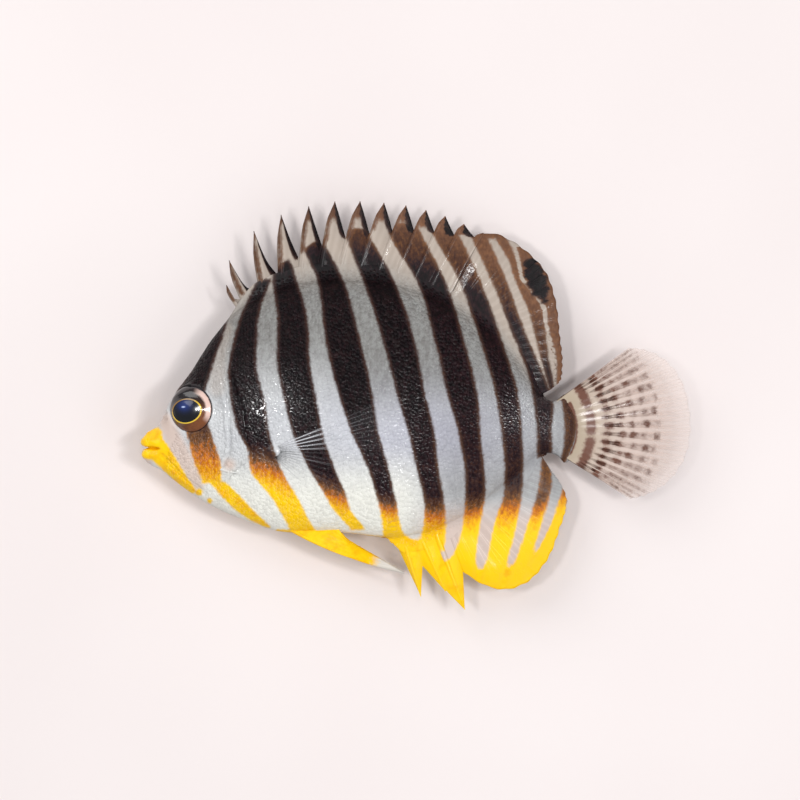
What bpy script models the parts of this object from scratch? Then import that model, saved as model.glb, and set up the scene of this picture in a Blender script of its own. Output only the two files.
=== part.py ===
"""Multibarred angelfish, a young one 62 mm long, lying on its right side.

+X points to the tail, +Y to the back and +Z up, which is towards the fish's left side. The origin
is under the middle of the fish, on the surface that it lies on. Sizes and places below are in
millimetres, and mesh_object() turns them into metres.
"""

import math

import bmesh
import bpy
import numpy as np

MM = 0.001
GAP = 0.3
FAR = 40.0
STRIP_REACH = 17.0
STRIP_STEPS = 41

# Body: the level of its middle plane above the floor, and how far the tail sinks behind SINK_FROM.
MIDPLANE_Z = 5.4
SINK_FROM = 8.0
SINK_RATE = 0.003
RING_SIDES = 32
UPPER_ROUNDNESS = 1.95
LOWER_ROUNDNESS = 2.15
NOSE_X = -30.4
NOSE_CAP_SCALE = 0.62
NOSE_CAP_LENGTH = 0.25
TAIL_END_X = 17.9

# Mouth: both lips run round from corner to corner, and the slot between them is the mouth line.
LIP_CORNER = (-28.7, 1.3)
UPPER_LIP_FRONT = (-30.5, -4.15)
LOWER_LIP_FRONT = (-30.25, -5.5)
LIP_CORNER_Y = (-4.65, -5.2)
LIP_RADIUS = (0.56, 0.36)
JAW_OUTLINE = ((-33.0, -4.76), (-28.75, -4.93), (-27.85, -6.6), (-27.3, -9.9), (-33.0, -9.9))

# Eyes: oblate balls in round sockets, turned a little forward. About 2.4 of a ball's radius shows.
EYE_CENTRE = (-24.95, -0.45)
EYE_SEEN_X = -25.2
EYE_RADIUS = 2.7
EYE_HALF_DEPTH = 1.6
EYE_OUT = 2.7
EYE_TURN = math.radians(18.0)
EYE_RIM_RADIUS = 0.22
EYE_RIM_SPREAD = 2.75
NOSTRILS = ((-28.1, -0.95, 0.24), (-28.05, -1.6, 0.19))

# Gill covers: inlaid plates that stand a little proud of the cheek.
COVER_INNER = 2.5
COVER_RISE = 0.14
COVER_TOP = 3.1
COVER_FOOT = -8.3
COVER_END_WIDTH = 0.35
COVER_SQUARENESS = 5.0
CHEEK_EDGE = ((-21.2, 2.3), (-21.25, 0.8), (-21.05, -2.4), (-21.1, -5.4), (-21.7, -7.0))
CHEEK_EDGE_RADIUS = 0.3
CHEEK_SPINE_ROOT = (-22.1, -7.0)
CHEEK_SPINE_TIP = (-19.9, -7.55)
CHEEK_SPINE_RADIUS = 0.42
CHEEK_SPINE_BLUNT = 0.08
CHEEK_SPINE_LIFT = 0.45

# Fins: membranes half as thick as given, with the root GAP from the body. Spines and rays are
# ridges on both faces that taper towards the edge.
MEMBRANE_HALF = 0.25
EDGE_HALF = 0.2
ROOT_HALF = 0.4
SPINE_HALF = 0.6
RAY_RISE = 0.13
FIN_SAG = 0.6
SOFT_RIDGE_END = 0.35
SPINE_ROWS = 7
RAY_ROWS = 7
DORSAL_SPINES = 13
DORSAL_RAYS = 18
ANAL_RAYS = 17
DORSAL_SPLIT_X = 3.7
FIN_END_X = 13.5

# Tail fin: a fan about a point inside the stalk.
FAN_CENTRE = (11.71, -2.58)
FAN_ROOT_RADIUS = 5.5
FAN_RADIUS = 19.36
FAN_UPPER_ANGLE = 36.5
FAN_LOWER_ANGLE = -32.5
FAN_UPPER_DROP = 4.06
FAN_LOWER_DROP = 4.57
FAN_UPPER_POWER = 3.4
FAN_LOWER_POWER = 2.2
FAN_RAYS = 17
FAN_ROWS = 9
FAN_ROOT_HALF = 0.85
FAN_WAVE = 0.25
FAN_WAVES = 7

# Pectoral fins: fans whose root lies on the flank behind the gill cover.
PECTORAL_HUB = (-16.7, -5.0)
PECTORAL_ROOT_RADIUS = 1.5
PECTORAL_RADIUS = 13.3
PECTORAL_DROP = 2.8
PECTORAL_AXIS = 10.0
PECTORAL_HALF_SPREAD = 54.0
PECTORAL_STAND = 0.1
PECTORAL_FOLLOW = 0.35
PECTORAL_SPREAD = (-44.0, 24.0)
PECTORAL_FOLDED = (-34.0, -6.0)
PECTORAL_RAYS = 14
FOLDED_RAYS = 6
PECTORAL_THICKNESS = 0.5
PECTORAL_ROOT_THICKNESS = 0.8
FOLDED_SHORTER = 1.0
FOLDED_GROOVE = 0.12

# Pelvic fins: blades under the belly, one each side of the middle plane.
PELVIC_ROOT = (-15.3, -9.0)
PELVIC_TIP = (-1.25, -18.85)
PELVIC_BACK = (-8.0, -15.0)
PELVIC_BOW = 0.75
PELVIC_OUT = (0.95, 2.1)
PELVIC_RAYS = 6
PELVIC_HALF = (0.3, 0.18)

# Soft shading breaks where two faces meet at more than this.
SHARP_ANGLE = math.radians(35.0)


def smooth(*points):
    """Return a function whose curve runs smoothly through the (x, y) points."""
    xs, ys = np.array(points, float).T
    slopes = np.gradient(ys, xs)

    def at(x):
        x = min(max(x, xs[0]), xs[-1])
        k = min(max(int(np.searchsorted(xs, x)) - 1, 0), len(xs) - 2)
        step = xs[k + 1] - xs[k]
        t = (x - xs[k]) / step
        start = (1 + 2 * t) * (1 - t) ** 2 * ys[k] + t * (1 - t) ** 2 * step * slopes[k]
        end = t * t * (3 - 2 * t) * ys[k + 1] + t * t * (t - 1) * step * slopes[k + 1]
        return float(start + end)

    return at


BACK = smooth(
    (-30.4, -3.1), (-29.9, -2.7), (-28.9, -1.95), (-27.7, 0.45), (-26.6, 2.2), (-25.5, 3.7),
    (-23.2, 7.25), (-21.0, 9.95), (-17.6, 12.3), (-13.0, 13.9), (-7.0, 14.3), (0.0, 13.0),
    (6.1, 9.9), (9.5, 7.0), (11.8, 4.3), (13.8, 1.5), (15.3, 0.65), (17.9, 1.3),
)
BELLY = smooth(
    (-30.4, -6.2), (-29.9, -6.75), (-28.9, -7.25), (-27.7, -8.2), (-23.2, -11.3), (-19.8, -12.8),
    (-16.5, -14.0), (-8.0, -14.4), (-2.7, -14.9), (1.6, -14.2), (7.2, -11.2), (12.3, -6.8),
    (13.8, -5.6), (15.3, -5.45), (17.9, -6.5),
)
LEVEL = smooth(
    (-30.4, -4.8), (-28.0, -3.8), (-25.0, -1.6), (-20.0, -0.8), (0.0, -0.8), (8.0, -1.5),
    (15.0, -2.4), (17.9, -2.6),
)
WIDTH = smooth(
    (-30.4, 0.95), (-29.5, 1.4), (-28.6, 1.9), (-27.5, 2.6), (-26.0, 3.2), (-24.0, 3.9),
    (-22.0, 4.5), (-20.0, 5.05), (-17.0, 5.55), (-13.0, 5.8), (-8.0, 5.8), (-3.0, 5.45),
    (2.0, 4.75), (6.0, 3.85), (10.0, 2.9), (13.0, 2.2), (15.5, 1.75), (17.9, 1.2),
)
# The edge of the gill opening and the end of the trunk, as x for each y.
GILL_LINE = smooth(
    (-17.0, -22.0), (-9.0, -21.4), (-7.3, -20.4), (-6.4, -19.2), (-5.3, -18.75), (-3.9, -19.0),
    (0.6, -19.85), (2.9, -20.7), (7.0, -20.5), (17.0, -19.4),
)
STALK_LINE = smooth((-17.0, 13.7), (0.0, 13.9), (17.0, 13.7))
COVER_FRONT = smooth(
    (-8.3, -22.9), (-6.5, -22.8), (-3.4, -22.35), (-1.5, -21.75), (0.7, -21.75), (3.1, -22.3)
)

# Dorsal spines by number: root x on the back, tip, and the notch behind each in the fin's edge.
SPINE_ROOT_X = smooth((1, -20.0), (2, -19.1), (3, -17.4), (5, -13.3), (8, -7.0), (13, 3.2))
SPINE_TIP_X = smooth((1, -21.4), (2, -21.1), (3, -18.3), (5, -12.1), (8, -3.6), (13, 7.6))
SPINE_TIP_Y = smooth((1, 13.6), (2, 16.4), (3, 19.7), (5, 22.5), (8, 22.9), (11, 21.4), (13, 19.5))
NOTCH_X = smooth((0, -20.5), (1, -19.9), (2, -17.7), (3, -15.6), (5, -10.6), (8, -2.6), (12, 6.6))
NOTCH_Y = smooth((0, 11.3), (1, 12.0), (2, 12.7), (3, 14.7), (5, 18.0), (8, 19.5), (12, 19.0))
TRAILING_SAG = smooth((1, 0.5), (2, 0.8), (4, 0.15), (13, 0.0))
SPINE_LEAD_BOW = 0.3
SPINE_STEM_SHARE = 0.2
# The columns of one spine and of its flag: each one's share of the root's width, and of the ridge.
LOBE_ROOTS = (0.0, 0.14, 0.26, 0.42, 0.7)
LOBE_RIDGES = (0.0, 0.6, 1.0, 0.3, 0.0)
LEAD_SHARE = 0.58
FLAG_SHARE = 0.14

# Edges of the soft fins, each as (x, y) along the edge from its first ray to its last.
SOFT_DORSAL_EDGE = (
    (7.5, 19.35), (8.6, 19.45), (10.2, 18.9), (12.7, 17.2), (14.6, 15.1), (15.7, 12.0),
    (16.2, 8.0), (16.5, 4.5), (16.2, 2.7), (15.3, 1.9),
)
SOFT_ANAL_EDGE = (
    (5.7, -18.9), (7.4, -20.1), (10.0, -20.75), (12.4, -20.0), (14.6, -17.7), (16.2, -13.9),
    (17.0, -10.5), (16.3, -8.8), (15.0, -7.0),
)
# Anal spines: root x, tip, and the notch in front of each in the fin's edge.
ANAL_SPINES = (
    (-2.2, (0.55, -21.55), (-2.25, -15.6)),
    (-0.3, (3.3, -20.95), (0.75, -18.1)),
    (1.6, (5.5, -23.04), (3.6, -21.1)),
)
ANAL_SPLIT_X = 3.4
ANAL_LAST_NOTCH = (5.2, -18.4)


def clear_scene():
    """Remove every object that the scene starts with."""
    for thing in list(bpy.data.objects):
        bpy.data.objects.remove(thing, do_unlink=True)


def paint(name, colour, roughness):
    """Return a Principled material of one colour."""
    material = bpy.data.materials.new(name)
    material.use_nodes = True
    shader = material.node_tree.nodes["Principled BSDF"]
    shader.inputs["Base Color"].default_value = (*colour, 1.0)
    shader.inputs["Roughness"].default_value = roughness
    shader.inputs["Metallic"].default_value = 0.0
    return material


def mesh_object(name, points, faces):
    """Return a linked object of points in millimetres, with its faces turned outwards."""
    mesh = bpy.data.meshes.new(name)
    mesh.from_pydata([tuple(float(v) * MM for v in p) for p in points], [], faces)
    shape = bmesh.new()
    shape.from_mesh(mesh)
    bmesh.ops.recalc_face_normals(shape, faces=shape.faces)
    shape.to_mesh(mesh)
    shape.free()
    made = bpy.data.objects.new(name, mesh)
    bpy.context.scene.collection.objects.link(made)
    return made


def midplane(x):
    """Return the height of the fish's middle plane, which sinks gently along the tail."""
    return MIDPLANE_Z - SINK_RATE * max(0.0, x - SINK_FROM) ** 2


def flank(x, y):
    """Return the body's half thickness at a place in the middle plane."""
    level = LEVEL(x)
    if y > level:
        reach, roundness = BACK(x) - level, UPPER_ROUNDNESS
    else:
        reach, roundness = level - BELLY(x), LOWER_ROUNDNESS
    share = min(abs(y - level) / reach, 1.0)
    return WIDTH(x) * (1 - share**roundness) ** (1 / roundness)


def body_ring(x, swell, scale=1.0, x_shift=0.0):
    """Return the points of the body's section at x."""
    level, width = LEVEL(x), (WIDTH(x) + swell) * scale
    ring = []
    for k in range(RING_SIDES):
        turn = 2 * math.pi * k / RING_SIDES
        across, along = math.cos(turn), math.sin(turn)
        if along > 0:
            reach, power = (BACK(x) - level) * scale, 2 / UPPER_ROUNDNESS
        else:
            reach, power = (level - BELLY(x)) * scale, 2 / LOWER_ROUNDNESS
        y = level + reach * math.copysign(abs(along) ** power, along)
        z = midplane(x) + width * math.copysign(abs(across) ** power, across)
        ring.append((x + x_shift, y, z))
    return ring


def body_stations():
    """Return the x of each body section, closer together on the head."""
    muzzle = np.arange(NOSE_X, -26.0, 0.45)
    head = np.arange(-26.0, -18.5, 0.8)
    trunk = np.arange(-18.5, 12.0, 1.35)
    stalk = np.linspace(12.0, TAIL_END_X, 8)
    return [*muzzle, *head, *trunk, *stalk]


def loft(name, rings):
    """Return a closed skin through rings of the same count, with flat ends."""
    sides = len(rings[0])
    points = [p for ring in rings for p in ring]
    faces = [list(range(sides)), list(range(len(points) - sides, len(points)))]
    for r in range(len(rings) - 1):
        for k in range(sides):
            after = (k + 1) % sides
            a, b = r * sides + k, r * sides + after
            faces.append([a, b, b + sides, a + sides])
    return mesh_object(name, points, faces)


def body(name, swell=0.0):
    """Return the whole trunk and head as one closed skin, thicker by swell on each side."""
    rings = [body_ring(x, swell) for x in body_stations()]
    nose = body_ring(NOSE_X, swell, NOSE_CAP_SCALE, -NOSE_CAP_LENGTH)
    return loft(name, [nose, *rings])


def tube(name, path, radii, sides=12, up=(0.0, 1.0, 0.0)):
    """Return a closed tube round a path, where up is never along the path."""
    path = np.array(path, float)
    rings = []
    for k, (centre, radius) in enumerate(zip(path, radii)):
        along = path[min(k + 1, len(path) - 1)] - path[max(k - 1, 0)]
        along /= np.linalg.norm(along)
        side = np.cross(along, up)
        side /= np.linalg.norm(side)
        over = np.cross(side, along)
        turns = [2 * math.pi * j / sides for j in range(sides)]
        rings.append([centre + radius * (math.cos(a) * side + math.sin(a) * over) for a in turns])
    return loft(name, rings)


def lip(name, front, corner_y):
    """Return one lip, a tube from one corner of the mouth round the front to the other."""
    corner_x, half_width = LIP_CORNER
    path, radii = [], []
    for turn in np.linspace(-math.pi / 2, math.pi / 2, 15):
        forward = math.cos(turn)
        x = corner_x + (front[0] - corner_x) * forward
        y = corner_y + (front[1] - corner_y) * forward
        path.append((x, y, midplane(x) + half_width * math.sin(turn)))
        radii.append(LIP_RADIUS[1] + (LIP_RADIUS[0] - LIP_RADIUS[1]) * forward)
    return tube(name, path, radii)


def prism(name, outline, low, high):
    """Return a straight prism over an outline in the middle plane."""
    sides = len(outline)
    points = [(x, y, low) for x, y in outline] + [(x, y, high) for x, y in outline]
    faces = [list(range(sides)), list(range(sides, 2 * sides))]
    faces += [[k, (k + 1) % sides, (k + 1) % sides + sides, k + sides] for k in range(sides)]
    return mesh_object(name, points, faces)


def grown(outline, by):
    """Return a closed outline with every side moved outwards by a distance."""
    points = np.array(outline, float)
    after, before = np.roll(points, -1, axis=0), np.roll(points, 1, axis=0)
    area = np.sum(points[:, 0] * after[:, 1] - after[:, 0] * points[:, 1])
    outward = math.copysign(by, area)
    moved = []
    for here, last, following in zip(points, before, after):
        first, second = here - last, following - here
        first, second = first / np.linalg.norm(first), second / np.linalg.norm(second)
        normals = np.array((first[1], -first[0])), np.array((second[1], -second[0]))
        middle = normals[0] + normals[1]
        moved.append(here + outward * 2 * middle / float(middle @ middle))
    return [tuple(p) for p in moved]


def strip(name, left, right):
    """Return a tall wall of the body between two lines given as x for each y, inf for none."""
    heights = np.linspace(-STRIP_REACH, STRIP_REACH, STRIP_STEPS)
    start = [(left(y), y) for y in heights]
    end = [(right(y), y) for y in reversed(heights)]
    return prism(name, start + end, -FAR, FAR)


def combine(target, other, operation):
    """Apply one exact Boolean to the target and drop the other object."""
    step = target.modifiers.new("step", "BOOLEAN")
    step.operation = operation
    step.object = other
    graph = bpy.context.evaluated_depsgraph_get()
    result = bpy.data.meshes.new_from_object(target.evaluated_get(graph))
    target.modifiers.clear()
    target.data = result
    bpy.data.objects.remove(other, do_unlink=True)
    return target


def largest_surface(thing):
    """Keep only the closed surface of the object that has the most faces."""
    shape = bmesh.new()
    shape.from_mesh(thing.data)
    left, islands = set(shape.faces), []
    while left:
        reached, edge = set(), [left.pop()]
        while edge:
            face = edge.pop()
            reached.add(face)
            near = {f for side in face.edges for f in side.link_faces}
            edge += list(near & left)
            left -= near
        islands.append(reached)
    islands.sort(key=len)
    scraps = [f for island in islands[:-1] for f in island]
    bmesh.ops.delete(shape, geom=scraps, context="FACES")
    shape.to_mesh(thing.data)
    shape.free()
    return thing


def finish(thing, material):
    """Give a piece its material, soft shading and one closed surface."""
    largest_surface(thing)
    thing.data.materials.clear()
    thing.data.materials.append(material)
    thing.data.shade_smooth()
    thing.data.set_sharp_from_angle(angle=SHARP_ANGLE)
    return thing


def whole_body(name):
    """Return the body with both lips on it."""
    made = body(name)
    combine(made, lip("upper_lip_tube", UPPER_LIP_FRONT, LIP_CORNER_Y[0]), "UNION")
    combine(made, lip("lower_lip_tube", LOWER_LIP_FRONT, LIP_CORNER_Y[1]), "UNION")
    return made


def eye_point(side, x, y, z):
    """Return a point given from the eye's centre, with z along the way that the eye looks."""
    across = x * math.cos(EYE_TURN) - z * math.sin(EYE_TURN)
    out = x * math.sin(EYE_TURN) + z * math.cos(EYE_TURN)
    return EYE_CENTRE[0] + across, EYE_CENTRE[1] + y, MIDPLANE_Z + side * (EYE_OUT + out)


def eyeball(name, side, spare=0.0):
    """Return one eye, or with spare its socket."""
    shape = bmesh.new()
    bmesh.ops.create_uvsphere(shape, u_segments=24, v_segments=12, radius=1.0)
    wide, deep = EYE_RADIUS + spare, EYE_HALF_DEPTH + spare
    points = [eye_point(side, v.co.x * wide, v.co.y * wide, v.co.z * deep) for v in shape.verts]
    faces = [[v.index for v in face.verts] for face in shape.faces]
    shape.free()
    return mesh_object(name, points, faces)


def eye_rim(side):
    """Return the raised rim of skin round an eye, a ring that follows the cheek."""
    sides, turns = 8, 32
    points, faces = [], []
    for k in range(turns):
        turn = 2 * math.pi * k / turns
        x = EYE_SEEN_X + EYE_RIM_SPREAD * math.cos(EYE_TURN) * math.cos(turn)
        y = EYE_CENTRE[1] + EYE_RIM_SPREAD * math.sin(turn)
        centre = np.array((x, y, MIDPLANE_Z + side * flank(x, y)))
        outward = np.array((math.cos(turn), math.sin(turn), 0.0))
        for j in range(sides):
            bend = 2 * math.pi * j / sides
            points.append(centre + EYE_RIM_RADIUS * (math.cos(bend) * outward))
            points[-1][2] += EYE_RIM_RADIUS * math.sin(bend)
            a, b = k * sides + j, k * sides + (j + 1) % sides
            around = ((k + 1) % turns - k) * sides
            faces.append([a, b, b + around, a + around])
    return mesh_object("eye_rim", points, faces)


def ball(name, centre, radius):
    """Return a small ball used as a pit or a knob."""
    shape = bmesh.new()
    bmesh.ops.create_icosphere(shape, subdivisions=2, radius=radius)
    points = [tuple(np.array(vertex.co) + np.array(centre)) for vertex in shape.verts]
    faces = [[v.index for v in face.verts] for face in shape.faces]
    shape.free()
    return mesh_object(name, points, faces)


def cover_outline(rear_spare):
    """Return the gill cover's outline, rounded at both ends, up to the gill line or past it."""
    shares = -np.cos(np.linspace(0.0, math.pi, 17))
    middle, reach = (COVER_TOP + COVER_FOOT) / 2, (COVER_TOP - COVER_FOOT) / 2
    rear, front = [], []
    for share in shares:
        y = middle + reach * share
        edge = GILL_LINE(y) - GAP / 2
        breadth = max(1 - abs(share) ** COVER_SQUARENESS, 0.0) ** 0.5
        breadth = COVER_END_WIDTH + (1 - COVER_END_WIDTH) * breadth
        rear.append((edge + rear_spare, y))
        front.append((edge + (COVER_FRONT(y) - edge) * breadth, y))
    return rear + front[::-1]


def side_range(side, inner):
    """Return the low and high z of all that lies outside inner on one side of the fish."""
    if side > 0:
        return MIDPLANE_Z + inner, FAR
    return -FAR, MIDPLANE_Z - inner


def cheek_spine(side):
    """Return the spine at the lower corner of the cheek, a cone that points back."""
    root, tip = np.array(CHEEK_SPINE_ROOT), np.array(CHEEK_SPINE_TIP)
    path, radii = [], []
    for share in (0.0, 0.35, 0.7, 0.9, 1.0):
        x, y = root + (tip - root) * share
        out = flank(*root) * (1 - share) + (flank(*tip) + CHEEK_SPINE_LIFT) * share
        path.append((x, y, MIDPLANE_Z + side * out))
        radii.append(CHEEK_SPINE_RADIUS * (1 - share) ** 0.7 + CHEEK_SPINE_BLUNT)
    return tube("cheek_spine", path, radii, sides=8)


def cheek_edge(side):
    """Return the rounded edge of the cheek plate, a ridge down the gill cover."""
    path = [(x, y, MIDPLANE_Z + side * (flank(x, y) + COVER_RISE)) for x, y in CHEEK_EDGE]
    radii = [CHEEK_EDGE_RADIUS * share for share in (0.6, 1.0, 1.0, 1.0, 0.8)]
    return tube("cheek_edge", path, radii, sides=8, up=(0.0, 0.0, 1.0))


def gill_cover(name, side):
    """Return one gill cover, a plate let into the side of the head with its ridge and spine."""
    made = body(name, COVER_RISE)
    combine(made, prism("cover", cover_outline(0.0), *side_range(side, COVER_INNER)), "INTERSECT")
    combine(made, cheek_edge(side), "UNION")
    return combine(made, cheek_spine(side), "UNION")


def head(name):
    """Return the head without the lower jaw, with sockets, nostrils and gill openings."""
    made = whole_body(name)
    combine(made, strip("front", lambda y: -FAR, lambda y: GILL_LINE(y) - GAP / 2), "INTERSECT")
    combine(made, prism("jaw", grown(JAW_OUTLINE, GAP / 2), -FAR, FAR), "DIFFERENCE")
    for side in (1, -1):
        combine(made, eye_rim(side), "UNION")
    for side in (1, -1):
        opening = grown(cover_outline(1.0), GAP)
        low, high = side_range(side, COVER_INNER - GAP)
        combine(made, prism("gill_opening", opening, low, high), "DIFFERENCE")
        combine(made, eyeball("socket", side, GAP), "DIFFERENCE")
        for x, y, radius in NOSTRILS:
            place = (x, y, MIDPLANE_Z + side * flank(x, y))
            combine(made, ball("nostril", place, radius), "DIFFERENCE")
    return made


def lower_jaw(name):
    """Return the lower jaw with its lip."""
    made = whole_body(name)
    return combine(made, prism("jaw", grown(JAW_OUTLINE, -GAP / 2), -FAR, FAR), "INTERSECT")


def torso(name):
    """Return the trunk, flat where it rests, with a bed for the fin under it."""
    made = body(name)
    front = strip("trunk", lambda y: GILL_LINE(y) + GAP / 2, lambda y: STALK_LINE(y) - GAP / 2)
    combine(made, front, "INTERSECT")
    combine(made, pectoral_bed("bed"), "DIFFERENCE")
    floor = prism("floor", ((-FAR, -FAR), (FAR, -FAR), (FAR, FAR), (-FAR, FAR)), -FAR, 0.0)
    return combine(made, floor, "DIFFERENCE")


def tail_stalk(name):
    """Return the stalk between trunk and tail fin, with a rounded rear end."""
    made = body(name)
    combine(made, strip("stalk", lambda y: STALK_LINE(y) + GAP / 2, lambda y: FAR), "INTERSECT")
    arc = [fan_point(turn, FAN_ROOT_RADIUS) for turn in np.linspace(-80.0, 80.0, 25)]
    outline = [*arc, (FAN_CENTRE[0], FAR), (-FAR, FAR), (-FAR, -FAR), (FAN_CENTRE[0], -FAR)]
    return combine(made, prism("rear", outline, -FAR, FAR), "INTERSECT")


def slab(name, columns, low, high):
    """Return a fin from columns of (x, y), split into triangles alike on both faces.

    low and high give the z of the two faces from a column's number, a point's share of the
    way up it, x and y.
    """
    rows, count = len(columns[0]), len(columns)
    points = []
    for face in (low, high):
        for i, column in enumerate(columns):
            for j, (x, y) in enumerate(column):
                points.append((x, y, face(i, j / (rows - 1), x, y)))
    half = rows * count
    faces = []
    for i in range(count - 1):
        for j in range(rows - 1):
            a, b = i * rows + j, (i + 1) * rows + j
            for tri in ((a, b, b + 1), (a, b + 1, a + 1)):
                faces.append(tri)
                faces.append(tuple(k + half for k in reversed(tri)))
    rim = [i * rows for i in range(count)]
    rim += [(count - 1) * rows + j for j in range(1, rows)]
    rim += [i * rows + rows - 1 for i in range(count - 2, -1, -1)]
    rim += [j for j in range(rows - 2, 0, -1)]
    for here, after in zip(rim, rim[1:] + rim[:1]):
        faces.append((here, after, after + half))
        faces.append((here, after + half, here + half))
    return mesh_object(name, points, faces)


def column(root, end, rows, bow=(0.0, 0.0)):
    """Return points from root to end, bent sideways by bow in the middle."""
    root, end, bow = np.array(root), np.array(end), np.array(bow)
    shares = np.linspace(0.0, 1.0, rows)
    return [tuple(root + (end - root) * t + bow * 4 * t * (1 - t)) for t in shares]


def contour_point(contour, x, away):
    """Return the point at a distance off the back (away > 0) or the belly (away < 0)."""
    step = 0.05
    slope = (contour(x + step) - contour(x - step)) / (2 * step)
    length = math.hypot(1.0, slope)
    return x - away * slope / length, contour(x) + away / length


def along_edge(edge, count):
    """Return points spaced evenly along a smooth edge through its given points."""
    edge = np.array(edge)
    steps = np.linalg.norm(np.diff(edge, axis=0), axis=1)
    reached = np.concatenate([[0.0], np.cumsum(steps)])
    x_at, y_at = smooth(*zip(reached, edge[:, 0])), smooth(*zip(reached, edge[:, 1]))
    return [(x_at(d), y_at(d)) for d in np.linspace(0.0, reached[-1], count)]


def upright_fin(name, columns, ridges, ridge_end):
    """Return a fin in the middle plane that sinks a little towards its edge.

    ridges gives how far each column stands over the membrane at its root, and ridge_end the
    share of that which is left at the edge.
    """

    def half(i, t):
        membrane = MEMBRANE_HALF + (ROOT_HALF - MEMBRANE_HALF) * (1 - t) ** 3
        membrane -= (MEMBRANE_HALF - EDGE_HALF) * t**3
        return membrane + ridges[i] * (1 - t * (1 - ridge_end))

    return slab(
        name,
        columns,
        lambda i, t, x, y: midplane(x) - FIN_SAG * t * t - half(i, t),
        lambda i, t, x, y: midplane(x) - FIN_SAG * t * t + half(i, t),
    )


def spine_lobe(front, tip, behind, bow, sag):
    """Return (share of the root's width, end, ridge) for each column of a spine and its flag."""
    front, tip, behind = np.array(front), np.array(tip), np.array(behind)
    lead = front * (1 - LEAD_SHARE) + tip * LEAD_SHARE - (bow, 0.0)
    trail = (tip + behind) / 2 - (0.0, sag)
    flag = tip * (1 - FLAG_SHARE) + trail * FLAG_SHARE
    ridges = [share * (SPINE_HALF - ROOT_HALF) for share in LOBE_RIDGES]
    return list(zip(LOBE_ROOTS, (front, lead, tip, flag, trail), ridges))


def dorsal_fin_spiny(name):
    """Return the front of the dorsal fin, a saw of curved spines with membrane behind each."""
    columns, ridges = [], []
    for number in range(1, DORSAL_SPINES + 1):
        last = number == DORSAL_SPINES
        root_x = SPINE_ROOT_X(number)
        spacing = (DORSAL_SPLIT_X if last else SPINE_ROOT_X(number + 1)) - root_x
        lobe = spine_lobe(
            (NOTCH_X(number - 1), NOTCH_Y(number - 1)),
            (SPINE_TIP_X(number), SPINE_TIP_Y(number)),
            (NOTCH_X(number), NOTCH_Y(number)),
            SPINE_LEAD_BOW,
            TRAILING_SAG(number),
        )
        for share, end, ridge in lobe[:3] if last else lobe:
            x = root_x + spacing * (share - SPINE_STEM_SHARE)
            columns.append(column(contour_point(BACK, x, GAP), end, SPINE_ROWS))
            ridges.append(ridge)
    return upright_fin(name, columns, ridges, 0.0)


def soft_fin(name, contour, away, start_x, edge, rays):
    """Return a soft fin whose rays run from the body's contour to the fin's edge."""
    count = 2 * rays + 1
    roots = np.linspace(start_x, FIN_END_X, count)
    columns = [
        column(contour_point(contour, x, away), end, RAY_ROWS)
        for x, end in zip(roots, along_edge(edge, count))
    ]
    ridges = [RAY_RISE * (k % 2) for k in range(count)]
    return upright_fin(name, columns, ridges, SOFT_RIDGE_END)


def anal_fin_spiny(name):
    """Return the front of the anal fin, with its three spines, the longest one last."""
    columns, ridges = [], []
    fronts = [spine[2] for spine in ANAL_SPINES[1:]] + [ANAL_LAST_NOTCH]
    roots = [spine[0] for spine in ANAL_SPINES[1:]] + [ANAL_SPLIT_X - GAP]
    for (root_x, tip, front), behind, next_x in zip(ANAL_SPINES, fronts, roots):
        for share, end, ridge in spine_lobe(front, tip, behind, 0.0, 0.0):
            x = root_x + (next_x - root_x) * share
            columns.append(column(contour_point(BELLY, x, -GAP), end, SPINE_ROWS))
            ridges.append(ridge)
    columns.append(column(contour_point(BELLY, roots[-1], -GAP), ANAL_LAST_NOTCH, SPINE_ROWS))
    ridges.append(0.0)
    return upright_fin(name, columns, ridges, 0.0)


def fan_point(turn, radius):
    """Return the point of the tail fan at an angle in degrees and a distance."""
    angle = math.radians(turn)
    return FAN_CENTRE[0] + radius * math.cos(angle), FAN_CENTRE[1] + radius * math.sin(angle)


def fan_reach(turn):
    """Return how far the tail fin reaches at an angle."""
    if turn > 0:
        return FAN_RADIUS - FAN_UPPER_DROP * (turn / FAN_UPPER_ANGLE) ** FAN_UPPER_POWER
    return FAN_RADIUS - FAN_LOWER_DROP * (turn / FAN_LOWER_ANGLE) ** FAN_LOWER_POWER


def caudal_fin(name):
    """Return the tail fin, a rounded fan with a thick root, ridged rays and a slight wave."""
    turns = np.linspace(FAN_LOWER_ANGLE, FAN_UPPER_ANGLE, 2 * FAN_RAYS + 1)
    columns = [
        column(fan_point(turn, FAN_ROOT_RADIUS + GAP), fan_point(turn, fan_reach(turn)), FAN_ROWS)
        for turn in turns
    ]

    def middle(i, t, x):
        return midplane(x) + FAN_WAVE * t * t * math.sin(math.radians(turns[i] * FAN_WAVES))

    def half(i, t):
        membrane = MEMBRANE_HALF + (FAN_ROOT_HALF - MEMBRANE_HALF) * (1 - t) ** 5
        return membrane + RAY_RISE * (i % 2) * min(1.0, 4 * t) * (1 - 0.7 * t)

    return slab(
        name,
        columns,
        lambda i, t, x, y: middle(i, t, x) - half(i, t),
        lambda i, t, x, y: middle(i, t, x) + half(i, t),
    )


def pectoral_reach(turn):
    """Return how far a spread pectoral fin reaches from its hub at an angle."""
    share = abs(PECTORAL_AXIS - turn) / PECTORAL_HALF_SPREAD
    return PECTORAL_RADIUS - PECTORAL_DROP * share**1.6


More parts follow.
